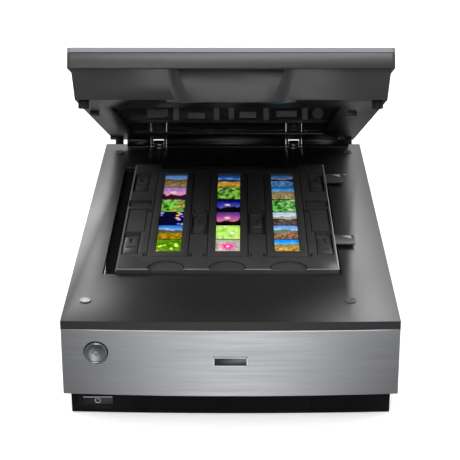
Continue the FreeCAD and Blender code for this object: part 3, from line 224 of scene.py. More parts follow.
HOUSING = moulded("housing_black", (0.014, 0.014, 0.0142), 0.4, 3000, 0.000006, IOR=1.62)
TRAY = moulded("tray_black", (0.0035, 0.0035, 0.0037), 0.42, 2200, 0.00002, Specular_IOR_Level=0.22)
PANEL = brushed("panel_silver", (0.45, 0.455, 0.48), 0.36, (30, 30, 1500))
BADGE = plain_metal("badge_grey", (0.13, 0.135, 0.145), 0.34, 700)
LID = moulded("lid_grey", (0.038, 0.038, 0.0395), 0.36, 1900, 0.00004, IOR=1.6)
UNDER = moulded("lid_under_black", (0.006, 0.006, 0.0062), 0.24, 2600, 0.000002, Specular_IOR_Level=0.25)
LID_TOP = moulded("lid_silver", (0.31, 0.31, 0.345), 0.42, 2600, 0.00001, 0.02, Metallic=0.25)
HOLDER = moulded("holder_black", (0.058, 0.058, 0.0585), 0.38, 1500, 0.00004)
DARK = moulded("dark_plastic", (0.008, 0.008, 0.0085), 0.38, 2400, 0.00002)
PAD = rubber("pad_grey", (0.1, 0.1, 0.1), 0.22)
FOOT = rubber("foot_rubber", (0.012, 0.012, 0.012))
BELT = rubber("belt_rubber", (0.01, 0.01, 0.01), 0.65)
STEEL = plain_metal("ground_steel", (0.55, 0.55, 0.56), 0.22)
LEAF = plain_metal("leaf_steel", (0.03, 0.03, 0.031), 0.45)
ZINC = plain_metal("zinc_plate", (0.5, 0.5, 0.46), 0.38, 500)
CHROME = plain_metal("bright_steel", (0.78, 0.78, 0.8), 0.16)
BLACKED = moulded("blacked_steel", (0.16, 0.16, 0.162), 0.35, 1200, 0.00001)
BRASS = plain_metal("bush_brass", (0.6, 0.4, 0.15), 0.25)
MIRROR = plain_metal("mirror_coat", (0.9, 0.9, 0.9), 0.02)
GLASS = clear_glass("bed_glass", (0.012, 0.0135, 0.013), 0.6)
WINDOW = clear_glass("lid_window_glass", (0.03, 0.03, 0.03), 0.3)
BOARD = circuit_board("circuit_board")
LAMP = glow("lamp_opal", (0.9, 0.9, 0.88), 0.2)
DIFFUSER = glow("diffuser_opal", (0.12, 0.12, 0.125), 0.02)
ACETAL = moulded("acetal_white", (0.6, 0.6, 0.57), 0.35, 1500, 0.00002)
BUTTON = plain_metal("button_silver", (0.36, 0.365, 0.385), 0.36, 700)
WHITE_INK = ink("white_ink", (0.6, 0.6, 0.6))
GREY_INK = ink("grey_ink", (0.35, 0.36, 0.36))
# Painted sheen: a light grey that stands for the highlight on rounded edges, not a colour of the part.
PAINTED_SHEEN = moulded("painted_edge_sheen", (0.75, 0.75, 0.76), 0.3, 1500, 0.00001)
# Seam shadow: near-black painted shadow lines on the holder's gaps, recess edges and scoop rims, not print.
SEAM_SHADOW = ink("seam_shadow", (0.001, 0.001, 0.001), Specular_IOR_Level=0.0)
LABEL_INK = ink("label_ink", (0.12, 0.12, 0.12))
TEAL_INK = ink("teal_ink", (0.006, 0.17, 0.13))
RIM = moulded("badge_rim", (0.8, 0.81, 0.83), 0.35, 1500, 0.00001)
FITTING = moulded("fitting_black", (0.4, 0.4, 0.405), 0.35, 1500, 0.00002)
GREY_PART = moulded("grey_part", (0.3, 0.3, 0.31), 0.4, 1500, 0.00002)
FILM = moulded("film_base", (0.012, 0.009, 0.007), 0.15, 4000, 0.000004)
start_low, start_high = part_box("start_button")
START = (start_low + start_high) / 2
# The dark line round the bezel is painted shade of the gap between the bezel and the front panel.
BEZEL = ringed("bezel_silver", (0.4, 0.4, 0.43), (0.01, 0.01, 0.011), START, 0.0103)

MATERIALS = {
    HOUSING: ["upper_housing"],
    TRAY: ["base_tray"],
    PANEL: ["front_panel"],
    BADGE: ["blank_badge"],
    LID: ["lid_frame", "lid_cover"],
    LID_TOP: ["lid_top_panel"],
    HOLDER: ["holder_frame", "film_cover_left", "film_cover_middle", "film_cover_right"],
    DARK: ["power_button", "transport_lock", "mat_hooks", "ac_inlet", "lid_light_unit",
           "carriage_body"],
    PAD: ["corner_pads"],
    FOOT: ["rubber_feet", "lid_bumpers"],
    BELT: ["timing_belt", "lid_belt"],
    BEZEL: ["button_bezel"],
    LEAF: ["hinge_leaves", "hinge_post_left", "hinge_post_right"],
    STEEL: ["guide_rod", "lid_guide_rod", "base_screws"],
    ZINC: ["guide_rail", "motor_bracket", "idler_bracket", "power_supply", "signal_ports"],
    CHROME: ["hinge_pins"],
    BLACKED: ["lid_chassis", "stepper_motor", "lid_motor", "lens_unit"],
    BRASS: ["carriage_bushes"],
    MIRROR: ["mirrors"],
    GLASS: ["platen_glass"],
    WINDOW: ["lid_window"],
    BOARD: ["button_board", "main_board", "ccd_board"],
    LAMP: ["scan_lamp"],
    DIFFUSER: ["lid_lamp"],
    ACETAL: ["motor_pulley", "idler_pulley", "lid_drive_pulley", "lid_idler_pulley"],
    BUTTON: ["start_button"],
    FILM: ["film_strips"],
}


def paint_nodes():
    for material, names in MATERIALS.items():
        for name in names:
            NODES[name].data.materials.clear()
            NODES[name].data.materials.append(material)
    for name, node in NODES.items():
        if name.startswith("height_adjuster"):
            node.data.materials.clear()
            node.data.materials.append(HOLDER)


# ---------------------------------------------------------------- piece helpers

def body_of(node):
    return next(body for body, members in frame["record"]["behaviour"]["bodies"].items() if node in members)


def new_piece(name, mesh, body, material=None):
    piece = bpy.data.objects.new(name, mesh)
    bpy.context.scene.collection.objects.link(piece)
    if material:
        mesh.materials.append(material)
    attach(piece, body)
    return piece


WELD = 0.000002                     # corners closer than this are one
FLAT = math.radians(0.08)           # edges flatter than this are dissolved
SHARP = math.radians(28)            # edges sharper than this are rounded


def soften(node, width):
    """Stands a copy with rounded edges in the CAD node's place."""
    source = NODES[node]
    mesh = source.data.copy()
    mesh.name = node + "_soft"
    work = bmesh.new()
    work.from_mesh(mesh)
    bmesh.ops.remove_doubles(work, verts=work.verts, dist=WELD)
    bmesh.ops.dissolve_limit(work, angle_limit=FLAT, verts=work.verts, edges=work.edges)
    work.to_mesh(mesh)
    work.free()
    mesh.shade_smooth()
    piece = new_piece(node + "_soft", mesh, body_of(node))
    bevel = piece.modifiers.new("round", "BEVEL")
    bevel.width = width
    bevel.segments = 2
    bevel.limit_method = "ANGLE"
    bevel.angle_limit = SHARP
    bevel.harden_normals = True
    bevel.use_clamp_overlap = True
    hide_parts(node)


def true_bow(piece):
    """Bakes a softened piece and gives its bowed front the normals of the surface it stands for.

    The surface y = a + curve x^2 + lean z + twist x^2 z is fitted to the front's corners. The front also
    gets flat coordinates in metres, "grain", for the direction of the brushing.
    """
    bpy.context.view_layer.update()
    baked = bpy.data.meshes.new_from_object(piece.evaluated_get(bpy.context.evaluated_depsgraph_get()))
    piece.modifiers.clear()
    piece.data = baked
    points = np.array([vertex.co for vertex in baked.vertices])
    bow_depth, facing_front = 6 * MM, -0.985
    front = points[:, 1].min() + bow_depth
    faces = [face for face in baked.polygons if face.normal.y < facing_front and face.center.y < front]
    used = sorted({index for face in faces for index in face.vertices})
    x, y, z = points[used].T
    terms = np.stack([np.ones_like(x), x * x, z, x * x * z], axis=1)
    _, curve, lean, twist = np.linalg.lstsq(terms, y, rcond=None)[0]
    normals = [corner.vector.copy() for corner in baked.corner_normals]
    for face in faces:
        for loop in face.loop_indices:
            place = baked.vertices[baked.loops[loop].vertex_index].co
            slope = 2 * place.x * (curve + twist * place.z)
            normals[loop] = Vector((slope, -1, lean + twist * place.x ** 2)).normalized()
    grain = baked.uv_layers.new(name="grain")
    for loop in baked.loops:
        place = baked.vertices[loop.vertex_index].co
        grain.data[loop.index].uv = (place.x, place.z)
    baked.normals_split_custom_set(normals)


def make_badge_border():
    """Thin raised rim round the blank badge."""
    low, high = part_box("blank_badge")
    rim, lift, sunk = 0.9 * MM, 0.05 * MM, 0.3 * MM
    spans = [
        [(low.x, high.x), (low.z, low.z + rim)], [(low.x, high.x), (high.z - rim, high.z)],
        [(low.x, low.x + rim), (low.z, high.z)], [(high.x - rim, high.x), (low.z, high.z)],
    ]
    blocks = [[across, (low.y - lift, low.y + sunk), up] for across, up in spans]
    new_piece("badge_border", prisms("badge_border", blocks, width=0.0001), "base", RIM)


def make_power_line():
    """Painted highlight: a light line along the top edge of the power button's face."""
    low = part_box("power_button")[0]
    inset, drop, thick, lift, sunk = 0.8 * MM, 0.6 * MM, 0.5 * MM, 0.03 * MM, 0.2 * MM
    corners = [vertex.co for vertex in NODES["power_button"].data.vertices]
    face = [corner for corner in corners if corner.y < low.y + 0.1 * MM]
    left, right, top = min(p.x for p in face), max(p.x for p in face), max(p.z for p in face)
    block = [(left + inset, right - inset), (low.y - lift, low.y + sunk), (top - drop - thick, top - drop)]
    new_piece("power_line", prisms("power_line", [block], width=0.0001), "power_button", PAINTED_SHEEN)


def by_hinge(face, posts):
    """True for the faces of the lid frame round its slots for the hinges."""
    aside, above, ahead = 5 * MM, 30 * MM, 25 * MM
    place = face.center
    return face.normal.y < 0.3 and any(
        low.x - aside < place.x < high.x + aside and place.z < high.z + above and place.y > low.y - ahead
        for low, high in posts)


def paint_underside():
    """Gives the lid's underside, its inside and its hinge slots their own glossy black."""
    up = lid_frame_matrix().to_3x3() @ Vector((0, 0, 1))
    piece = bpy.data.objects["lid_frame_soft"]
    middle = (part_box("lid_frame")[0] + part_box("lid_frame")[1]) / 2
    posts = [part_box("hinge_post_left"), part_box("hinge_post_right")]
    piece.data.materials.append(UNDER)
    for face in piece.data.polygons:
        facing_down = face.normal.dot(up) < -0.9
        facing_in = face.normal.dot(face.center - middle) < 0
        if facing_down or facing_in or by_hinge(face, posts):
            face.material_index = 1


def lid_frame_matrix():
    """From the shut lid's coordinates to the row frame at rest."""
    hinge = JOINTS["lid_hinge"]
    pivot = Vector(hinge["pos_m"])
    turn = Matrix.Rotation(math.radians(hinge["range_deg"][0]), 4, -Vector(hinge["axis"]))
    return Matrix.Translation(pivot) @ turn @ Matrix.Translation(-pivot)


# ---------------------------------------------------------------- film pictures

def soft_noise(across, up, cells, seed):
    """Smooth value noise on a grid."""
    chance = np.random.default_rng(seed)
    grid = chance.random((cells + 2, cells + 2))
    x, y = across * cells, up * cells
    column, row = x.astype(int), y.astype(int)
    fx, fy = x - column, y - row
    fx, fy = fx * fx * (3 - 2 * fx), fy * fy * (3 - 2 * fy)
    low = grid[row, column] * (1 - fx) + grid[row, column + 1] * fx
    high = grid[row + 1, column] * (1 - fx) + grid[row + 1, column + 1] * fx
    return low * (1 - fy) + high * fy


def layered(across, up, cells, seed):
    """Three octaves of noise."""
    coarse = soft_noise(across, up, cells, seed)
    middling = soft_noise(across, up, 2 * cells, seed + 1)
    fine = soft_noise(across, up, 4 * cells, seed + 2)
    return 0.55 * coarse + 0.3 * middling + 0.15 * fine


def blend(low, high, amount):
    amount = np.clip(amount, 0, 1)[..., None]
    return np.asarray(low) * (1 - amount) + np.asarray(high) * amount


def landscape(across, up, seed, sky, haze, far, near):
    """Sky, a far range and broken near ground."""
    picture = blend(haze, sky, (up - 0.5) * 2 + 0.5 * layered(across, up, 4, seed))
    ridge = 0.62 + 0.12 * soft_noise(across, up * 0, 5, seed + 3)
    picture = blend(picture, np.asarray(far) * 0.9, (ridge - up) * 40)
    ground = 0.42 + 0.14 * soft_noise(across, up * 0, 3, seed + 4)
    mottle = layered(across, up, 9, seed + 5) * 1.6 - 0.3
    rough = blend(np.asarray(near) * 0.35, np.asarray(near) * 1.5, mottle)
    return blend(picture, rough, (ground - up) * 30)


def meadow(across, up, seed, leaf, shade, petal):
    """Leaves out of focus with bright blossoms scattered over them."""
    picture = blend(shade, leaf, layered(across, up, 7, seed) * 2.2 - 0.6)
    chance = np.random.default_rng(seed)
    for _ in range(9):
        x, y, size = chance.random(), chance.random(), 0.03 + 0.07 * chance.random()
        reach = np.hypot(across - x, (up - y) * 1.4) / size
        picture = blend(picture, petal, (1.1 - reach) * 3)
    return picture


def dusk(across, up, seed, high, low, ground):
    """Low sun with a dark shore."""
    picture = blend(low, high, up * 1.2 - 0.1 + 0.3 * (layered(across, up, 4, seed) - 0.5))
    sun = np.hypot(across - 0.45, (up - 0.55) * 1.4)
    picture = blend(picture, (1.0, 0.8, 0.45), (0.16 - sun) * 9)
    shore = 0.2 + 0.35 * layered(across, up * 0, 6, seed + 2)
    return blend(picture, ground, (shore - up) * 30)


def lights(across, up, seed, back, spots):
    """Round spots of light out of focus."""
    picture = blend(back, np.asarray(back) * 2.2, layered(across, up, 4, seed))
    chance = np.random.default_rng(seed)
    for _ in range(14):
        x, y, size = chance.random(), chance.random(), 0.04 + 0.08 * chance.random()
        colour = spots[chance.integers(len(spots))]
        reach = np.hypot(across - x, (up - y) * 1.4) / size
        picture = blend(picture, colour, (1.05 - reach) * 6 * (0.35 + 0.5 * reach))
    return picture


def blossom(across, up, seed, ground, petal, heart):
    """One big flower from above."""
    x, y = across - 0.5, (up - 0.5) * 1.35
    angle, reach = np.arctan2(y, x), np.hypot(x, y)
    edge = 0.3 + 0.09 * np.cos(11 * angle)
    picture = blend(ground, np.asarray(ground) * 0.5, layered(across, up, 4, seed))
    stripes = 0.75 + 0.35 * np.cos(22 * angle + 9 * reach)
    picture = blend(picture, petal, (edge - reach) * 30 * stripes)
    return blend(picture, heart, (0.09 - reach) * 30)


SKY, HAZE, DEEP = (0.05, 0.2, 0.6), (0.7, 0.8, 0.95), (0.02, 0.08, 0.3)

# Each frame is its painter, its seed and its colours; each strip runs from front to back.
LEFT_STRIP = [
    (meadow, 11, (0.16, 0.32, 0.04), (0.06, 0.16, 0.02), (0.75, 0.85, 0.15)),
    (landscape, 12, SKY, HAZE, (0.1, 0.12, 0.08), (0.32, 0.2, 0.03)),
    (lights, 13, (0.015, 0.01, 0.03), [(0.25, 0.2, 0.9), (0.9, 0.5, 0.1), (0.5, 0.4, 1.0)]),
    (meadow, 14, (0.25, 0.6, 0.12), (0.02, 0.08, 0.02), (0.75, 0.06, 0.05)),
    (dusk, 15, (0.35, 0.2, 0.5), (0.9, 0.45, 0.5), (0.08, 0.03, 0.06)),
    (landscape, 16, (0.1, 0.25, 0.5), (0.25, 0.4, 0.6), (0.15, 0.12, 0.08), (0.3, 0.2, 0.1)),
]
MIDDLE_STRIP = [
    (blossom, 21, (0.55, 0.5, 0.42), (0.8, 0.05, 0.35), (1.0, 0.8, 0.1)),
    (meadow, 22, (0.6, 0.95, 0.2), (0.25, 0.6, 0.08), (0.95, 1.0, 0.85)),
    (dusk, 23, (0.12, 0.06, 0.3), (0.8, 0.2, 0.35), (0.02, 0.01, 0.03)),
    (dusk, 24, (0.01, 0.02, 0.12), (0.15, 0.15, 0.7), (0.005, 0.005, 0.02)),
    (meadow, 25, (0.35, 0.75, 0.1), (0.03, 0.07, 0.03), (0.1, 0.12, 0.2)),
    (landscape, 26, DEEP, (0.45, 0.65, 0.9), (0.04, 0.07, 0.12), (0.65, 0.35, 0.08)),
]
RIGHT_STRIP = [
    (landscape, 31, (0.03, 0.25, 0.7), (0.25, 0.6, 0.85), (0.3, 0.22, 0.12), (0.45, 0.28, 0.08)),
    (landscape, 32, (0.15, 0.3, 0.65), HAZE, (0.12, 0.25, 0.2), (0.3, 0.16, 0.1)),
    (landscape, 33, (0.45, 0.6, 0.75), (0.75, 0.85, 0.9), (0.5, 0.42, 0.35), (0.12, 0.1, 0.09)),
    (meadow, 34, (0.2, 0.6, 0.15), (0.02, 0.1, 0.02), (0.85, 0.5, 0.65)),
    (landscape, 35, (0.03, 0.2, 0.6), (0.35, 0.6, 0.9), (0.3, 0.24, 0.15), (0.4, 0.3, 0.16)),
    (landscape, 36, (0.04, 0.12, 0.3), (0.6, 0.35, 0.2), (0.03, 0.05, 0.09), (0.1, 0.2, 0.35)),
]


def picture_material():
    """Processed film that takes its dyes from the mesh's colours, with a painted glow in the same dyes as if lit
    from below.
    """
    # The emission is a painted glow: the film is no lamp.
    shader = Shader("film_picture", (0.5, 0.5, 0.5), 0.22, Emission_Strength=0.55)
    dyes = shader.add("VertexColor", layer_name="dyes")
    shader.tree.links.new(dyes.outputs["Color"], shader.main.inputs["Base Color"])
    shader.tree.links.new(dyes.outputs["Color"], shader.main.inputs["Emission Color"])
    shader.wear(shader.cloud(300, 3), 0.04)
    shader.bump(shader.cloud(5000, 2), 0.000004)
    return shader.material


def make_pictures():
    """Eighteen frames as coloured grids that lie on the strips."""
    low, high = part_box("film_strips")
    half_width, pitch, gap, margin = 12.4 * MM, 38.27 * MM, 1.9 * MM, 3.2 * MM
    columns, rows = 40, 56
    across, up = np.meshgrid(np.linspace(0, 1, columns), np.linspace(0, 1, rows))
    vertices, faces, colours = [], [], []
    for side, strip in (("left", LEFT_STRIP), ("middle", MIDDLE_STRIP), ("right", RIGHT_STRIP)):
        cover_low, cover_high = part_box("film_cover_" + side)
        middle = (cover_low.x + cover_high.x) / 2
        for number, (paint, *choices) in enumerate(strip):
            first = len(vertices)
            x = middle + (across - 0.5) * 2 * half_width
            y = low.y + margin + number * pitch + up * (pitch - gap)
            vertices += list(zip(x.ravel(), y.ravel(), np.full(x.size, high.z + MARK_LIFT)))
            grain = layered(across, up, 13, 500 + len(colours))[..., None]
            printed = (paint(across, up, *choices) * 1.3 - 0.04) * (0.55 + 0.9 * grain)
            colours.append(np.clip(printed, 0.002, 1).reshape(-1, 3))
            corner = first + np.add.outer(np.arange(rows - 1) * columns, np.arange(columns - 1)).ravel()
            faces += [(c, c + 1, c + columns + 1, c + columns) for c in corner.tolist()]
    mesh = bpy.data.meshes.new("film_pictures")
    mesh.from_pydata(vertices, [], faces)
    layer = mesh.color_attributes.new("dyes", "FLOAT_COLOR", "POINT")
    rgba = np.concatenate([np.concatenate(colours), np.ones((len(vertices), 1))], axis=1)
    layer.data.foreach_set("color", rgba.ravel())
    new_piece("film_pictures", mesh, "holder", picture_material())


# ---------------------------------------------------------------- printed marks, painted shadow lines and painted sheen

def flat_mesh(name, outlines, at):
    """Flat faces from outlines; at(first, second) gives the place of each point in space."""
    mesh = bpy.data.meshes.new(name)
    vertices = [at(*point) for outline in outlines for point in outline]
    faces, first = [], 0
    for outline in outlines:
        faces.append(tuple(range(first, first + len(outline))))
        first += len(outline)
    mesh.from_pydata(vertices, [], faces)
    return mesh


def at_height(level):
    """Puts (x, y) points at one height."""
    return lambda x, y: (x, y, level)


def at_front(level):
    """Puts (x, z) points on an upright face."""
    return lambda x, z: (x, level, z)


def make_marks():
    """Triangles that line the holder's tabs up with the housing."""
    tab_end, _, holder_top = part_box("holder_frame")[1]
    tab_step = 0.5 * MM
    tab_top = holder_top - tab_step
    housing_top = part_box("corner_pads")[0].z
    on_housing, on_tabs = [], []
    for y in (141.5 * MM, -42.3 * MM):
        root, tip, half = tab_end + 2.4 * MM, tab_end + 6.2 * MM, 1.8 * MM
        on_housing.append([(root, y - half), (tip, y), (root, y + half)])
    for y in (123 * MM, -61 * MM):
        near, far = tab_end - 13 * MM, tab_end - 3 * MM
        on_tabs.append([(near, y + 7 * MM), (far, y - 1 * MM), (far, y + 7 * MM)])
    mesh = flat_mesh("housing_marks", on_housing, at_height(housing_top + MARK_LIFT))
    new_piece("housing_marks", mesh, "base", WHITE_INK)
    mesh = flat_mesh("tab_marks", on_tabs, at_height(tab_top + MARK_LIFT))
    new_piece("tab_marks", mesh, "holder", WHITE_INK)


def ribbon(points, width, closed=True):
    """Quads of a thin line along (x, y) points."""
    pairs = list(zip(points, points[1:] + points[:1]))
    quads = []
    for start, end in pairs if closed else pairs[:-1]:
        start, end = Vector(start), Vector(end)
        along = (end - start).normalized() * width / 2
        side = Vector((-along.y, along.x))
        start, end = start - along, end + along
        quads.append([tuple(start - side), tuple(end - side), tuple(end + side), tuple(start + side)])
    return quads


def frame_of(left, right, front, rear):
    """Corners of a rectangle in plan."""
    return [(left, front), (right, front), (right, rear), (left, rear)]


def holder_middle():
    low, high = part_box("film_cover_middle")
    return (low.x + high.x) / 2


def well_seam_shadows():
    """Painted shadow lines round the six wells that the height adjusters slide in."""
    beside, before, length = 0.5 * MM, 0.6 * MM, 55.6 * MM
    lines = []
    for name in NODES:
        if name.startswith("height_adjuster"):
            low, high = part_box(name)
            outline = frame_of(low.x - beside, high.x + beside, low.y - before, low.y + length)
            lines += ribbon(outline, 0.9 * MM)
    return lines


def recess_seam_shadows():
    """Painted shadow lines round the two recesses at each side of the holder."""
    middle = holder_middle()
    grip = (84.2 * MM, 107.6 * MM, 27.7 * MM, 45.6 * MM)        # nearest, farthest, front, rear
    panel = (86.7 * MM, 106.2 * MM, -43.7 * MM, 19.7 * MM)
    lines = []
    for sign in (-1, 1):
        for near, far, front, rear in (grip, panel):
            left, right = sorted((middle + sign * near, middle + sign * far))
            lines += ribbon(frame_of(left, right, front, rear), 0.8 * MM)
    return lines


def cover_seam_shadows():
    """Painted shadow lines along three sides of each film cover, and along the rim of the finger scoop in front of
    it.
    """
    half, ahead, short_of_hinge = 20.6 * MM, 0.5 * MM, 6 * MM
    scoop_radius, scoop_back, scoop_start, scoop_sweep, steps = 17.55 * MM, 2.95 * MM, -9.7, 199.4, 30
    turns = [math.radians(scoop_start + scoop_sweep * step / steps) for step in range(steps + 1)]
    scoop_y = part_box("holder_frame")[0].y + scoop_back
    lines = []
    for side in ("left", "middle", "right"):
        low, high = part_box("film_cover_" + side)
        centre = (low.x + high.x) / 2
        left, right, front, rear = centre - half, centre + half, low.y - ahead, high.y - short_of_hinge
        lines += ribbon([(left, rear), (left, front), (right, front), (right, rear)], 0.6 * MM, closed=False)
        scoop = [(centre + scoop_radius * math.cos(turn), scoop_y + scoop_radius * math.sin(turn))
                 for turn in turns]
        lines += ribbon(scoop, 1.0 * MM, closed=False)
    return lines


def make_seam_shadows():
    """Painted shadow lines where the holder's wells, recesses, covers and scoops meet its top."""
    low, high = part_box("holder_frame")
    lines = well_seam_shadows() + recess_seam_shadows() + cover_seam_shadows()
    lines = [quad for quad in lines if all(point[1] > low.y for point in quad)]
    mesh = flat_mesh("holder_seams", lines, at_height(high.z + MARK_LIFT))
    new_piece("holder_seams", mesh, "holder", SEAM_SHADOW)


def make_edge_sheen():
    """Painted highlight: a light line where the holder's outer top edge is rounded, at the front and both sides.
    """
    low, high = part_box("holder_frame")
    width, shortest, slack, lift = 0.7 * MM, 1.5 * MM, 0.01 * MM, 0.04 * MM
    middle, side_reach, front_reach = holder_middle(), 108.2 * MM, 0.5 * MM
    mesh = bmesh.new()
    mesh.from_mesh(NODES["holder_frame"].data)
    quads = []
    for edge in mesh.edges:
        start, end = (vertex.co for vertex in edge.verts)
        if min(start.z, end.z) < high.z - slack or edge.calc_length() < shortest:
            continue
        walls = [face for face in edge.link_faces if abs(face.normal.z) < 0.1 and face.normal.y < 0.5]
        centre = (start + end) / 2
        outside = abs(centre.x - middle) > side_reach or centre.y < low.y + front_reach
        if walls and outside:
            inward = -walls[0].normal.xy.normalized() * width / 2
            quads += ribbon([tuple(start.xy + inward), tuple(end.xy + inward)], width, closed=False)
    mesh.free()
    new_piece("holder_sheen", flat_mesh("holder_sheen", quads, at_height(high.z + lift)), "holder", PAINTED_SHEEN)


def ring_arc(middle, inner, outer, start, end, steps=40):
    """Quads of a ring between two angles in degrees, as (x, z) outlines."""
    def corner(radius, angle):
        return (middle[0] + radius * math.sin(angle), middle[1] + radius * math.cos(angle))

    outlines = []
    for step in range(steps):
        near = math.radians(start + (end - start) * step / steps)
        far = math.radians(start + (end - start) * (step + 1) / steps)
        outlines.append([corner(inner, near), corner(outer, near), corner(outer, far), corner(inner, far)])
    return outlines


def make_icons():
    """Plain symbols on the two buttons: a broken ring with a bar, and a diamond."""
    low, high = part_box("power_button")
    x, z = (low.x + high.x) / 2, (low.z + high.z) / 2 - 0.2 * MM
    half, foot, head = 0.35 * MM, 0.8 * MM, 3.2 * MM
    bar = [(x - half, z + foot), (x + half, z + foot), (x + half, z + head), (x - half, z + head)]
    sign = ring_arc((x, z), 2.0 * MM, 2.8 * MM, 35, 325) + [bar]
    mesh = flat_mesh("power_symbol", sign, at_front(low.y - MARK_LIFT))
    new_piece("power_symbol", mesh, "power_button", GREY_INK)
    diamond = ring_arc((START.x, START.z), 2.6 * MM, 3.7 * MM, 0, 360, 4)
    dish = 0.85 * MM
    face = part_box("start_button")[0].y + dish
    mesh = flat_mesh("start_symbol", diamond, at_front(face))
    new_piece("start_symbol", mesh, "start_button", TEAL_INK)


def make_label():
    """Small blank label with a light border behind the bed."""
    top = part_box("corner_pads")[0].z
    middle = (-91.4 * MM, 170.3 * MM)

    def rounded(half_x, half_y, radius, steps=6):
        points = []
        for corner, (sx, sy) in enumerate(((1, 1), (-1, 1), (-1, -1), (1, -1))):
            for step in range(steps + 1):
                angle = math.radians(90 * corner + 90 * step / steps)
                points.append((middle[0] + sx * (half_x - radius) + radius * math.cos(angle),
                               middle[1] + sy * (half_y - radius) + radius * math.sin(angle)))
        return points

    outer, inner = rounded(5 * MM, 3.2 * MM, 1.6 * MM), rounded(4.3 * MM, 2.4 * MM, 1.2 * MM)
    count = len(outer)
    border = [[inner[i], outer[i], outer[(i + 1) % count], inner[(i + 1) % count]] for i in range(count)]
    level = at_height(top + MARK_LIFT)
    new_piece("label_border", flat_mesh("label_border", border, level), "base", WHITE_INK)
    new_piece("label_field", flat_mesh("label_field", [inner], level), "base", LABEL_INK)


def prisms(name, blocks, place=None, width=0.0003):
    """Bevelled blocks, each an (x, y, z) triple of spans in metres, put through a matrix."""
    mesh = bpy.data.meshes.new(name)
    work = bmesh.new()
    for spans in blocks:
        middle = Vector([(a + b) / 2 for a, b in spans])
        scale = Vector([b - a for a, b in spans])
        made = bmesh.ops.create_cube(work, size=1)["verts"]
        bmesh.ops.scale(work, vec=scale, verts=made)
        bmesh.ops.translate(work, vec=middle, verts=made)
    bmesh.ops.bevel(work, geom=work.edges[:], offset=width, segments=2, affect="EDGES", profile=0.5)
    if place:
        bmesh.ops.transform(work, matrix=place, verts=work.verts)
    work.to_mesh(mesh)
    work.free()
    mesh.shade_smooth()
    return mesh


def make_hinge_fronts():
    """Bright folded lips on the front of each hinge post."""
    lean = Matrix.Rotation(math.radians(-48), 4, "X")
    inset, half_thick, half_tall, front = 0.2 * MM, 0.35 * MM, 1.3 * MM, 235.2 * MM
    for side in ("left", "right"):
        low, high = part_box("hinge_post_" + side)
        lip = [(low.x + inset, high.x - inset), (-half_thick, half_thick), (-half_tall, half_tall)]
        for number, height in enumerate((98.2 * MM, 102.0 * MM)):
            place = Matrix.Translation((0, front, height)) @ lean
            name = f"hinge_lip_{side}_{number}"
            new_piece(name, prisms(name, [lip], place, 0.0002), "hinge", CHROME)


# What stands out from the light unit, in millimetres of the shut lid: left, right, low, high, depth
FITTINGS = [
    (-90, -70, 117, 124, 5), (-64, -58, 112, 127, 3), (-48, -30, 114, 120, 4),
    (-20, -14, 112, 128, 3), (-4, 2, 113, 127, 3), (8, 26, 115, 121, 4),
    (34, 40, 112, 127, 3), (48, 70, 116, 122, 5), (76, 82, 113, 127, 3),
]
ROLLER_STEPS = [(6.0, 3.0), (4.2, 4.0), (2.2, 5.0)]    # radius and length of each step, in millimetres


def make_light_unit_front():
    """What shows of the light unit's drive through the window."""
    tilt = lid_frame_matrix()
    unit_front, sunk = 57.6, 57.9 * MM
    blocks = [[(left * MM, right * MM), ((unit_front - depth) * MM, sunk), (low * MM, high * MM)]
              for left, right, low, high, depth in FITTINGS]
    new_piece("light_unit_fittings", prisms("light_unit_fittings", blocks, tilt), "light_unit", FITTING)
    box = [[(-92 * MM, -72 * MM), (50 * MM, 52.4 * MM), (115 * MM, 123 * MM)]]
    new_piece("light_unit_box", prisms("light_unit_box", box, tilt), "light_unit", GREY_PART)

    mesh = bpy.data.meshes.new("light_unit_roller")
    work = bmesh.new()
    facing_front = Matrix.Rotation(math.radians(90), 4, "X")
    for radius, length in ROLLER_STEPS:
        made = bmesh.ops.create_cone(work, cap_ends=True, segments=40, radius1=radius * MM,
                                     radius2=radius * 0.9 * MM, depth=length * MM)["verts"]
        middle = Matrix.Translation((93 * MM, (56 - length / 2) * MM, 119.5 * MM))
        bmesh.ops.transform(work, matrix=tilt @ (middle @ facing_front), verts=made)
    work.to_mesh(mesh)
    work.free()
    new_piece("light_unit_roller", mesh, "light_unit", GREY_PART)


# ---------------------------------------------------------------- stage, lights and camera

def make_stage():
    """Plain white floor."""
    side, front, rear = 1.5, -0.34, 1.8
    mesh = bpy.data.meshes.new("floor")
    corners = [(-side, front, 0), (side, front, 0), (side, rear, 0), (-side, rear, 0)]
    mesh.from_pydata(corners, [], [(0, 1, 2, 3)])
    floor = bpy.data.objects.new("floor", mesh)
    bpy.context.scene.collection.objects.link(floor)
    floor.visible_glossy = False
    shader = Shader("floor_white", (0.93, 0.93, 0.93), 0.7,
                    Emission_Strength=0.35, Emission_Color=(1, 1, 1, 1))
    shader.tint(shader.cloud(3, 2), 0.995, 1.0)
    mesh.materials.append(shader.material)


def area_light(name, place, target, size, power):
    light = bpy.data.lights.new(name, "AREA")
    light.shape = "RECTANGLE"
    light.size, light.size_y = size
    light.energy = power
    lamp = bpy.data.objects.new(name, light)
    bpy.context.scene.collection.objects.link(lamp)
    lamp.location = place
    lamp.rotation_euler = (Vector(target) - Vector(place)).to_track_quat("-Z", "Y").to_euler()


TO_CAMERA, BAND, FRONT, WINGS, BACK, BACK_FILL = 1.02, 4.2, 0.05, 0.55, 8.5, 0.12    # brightness


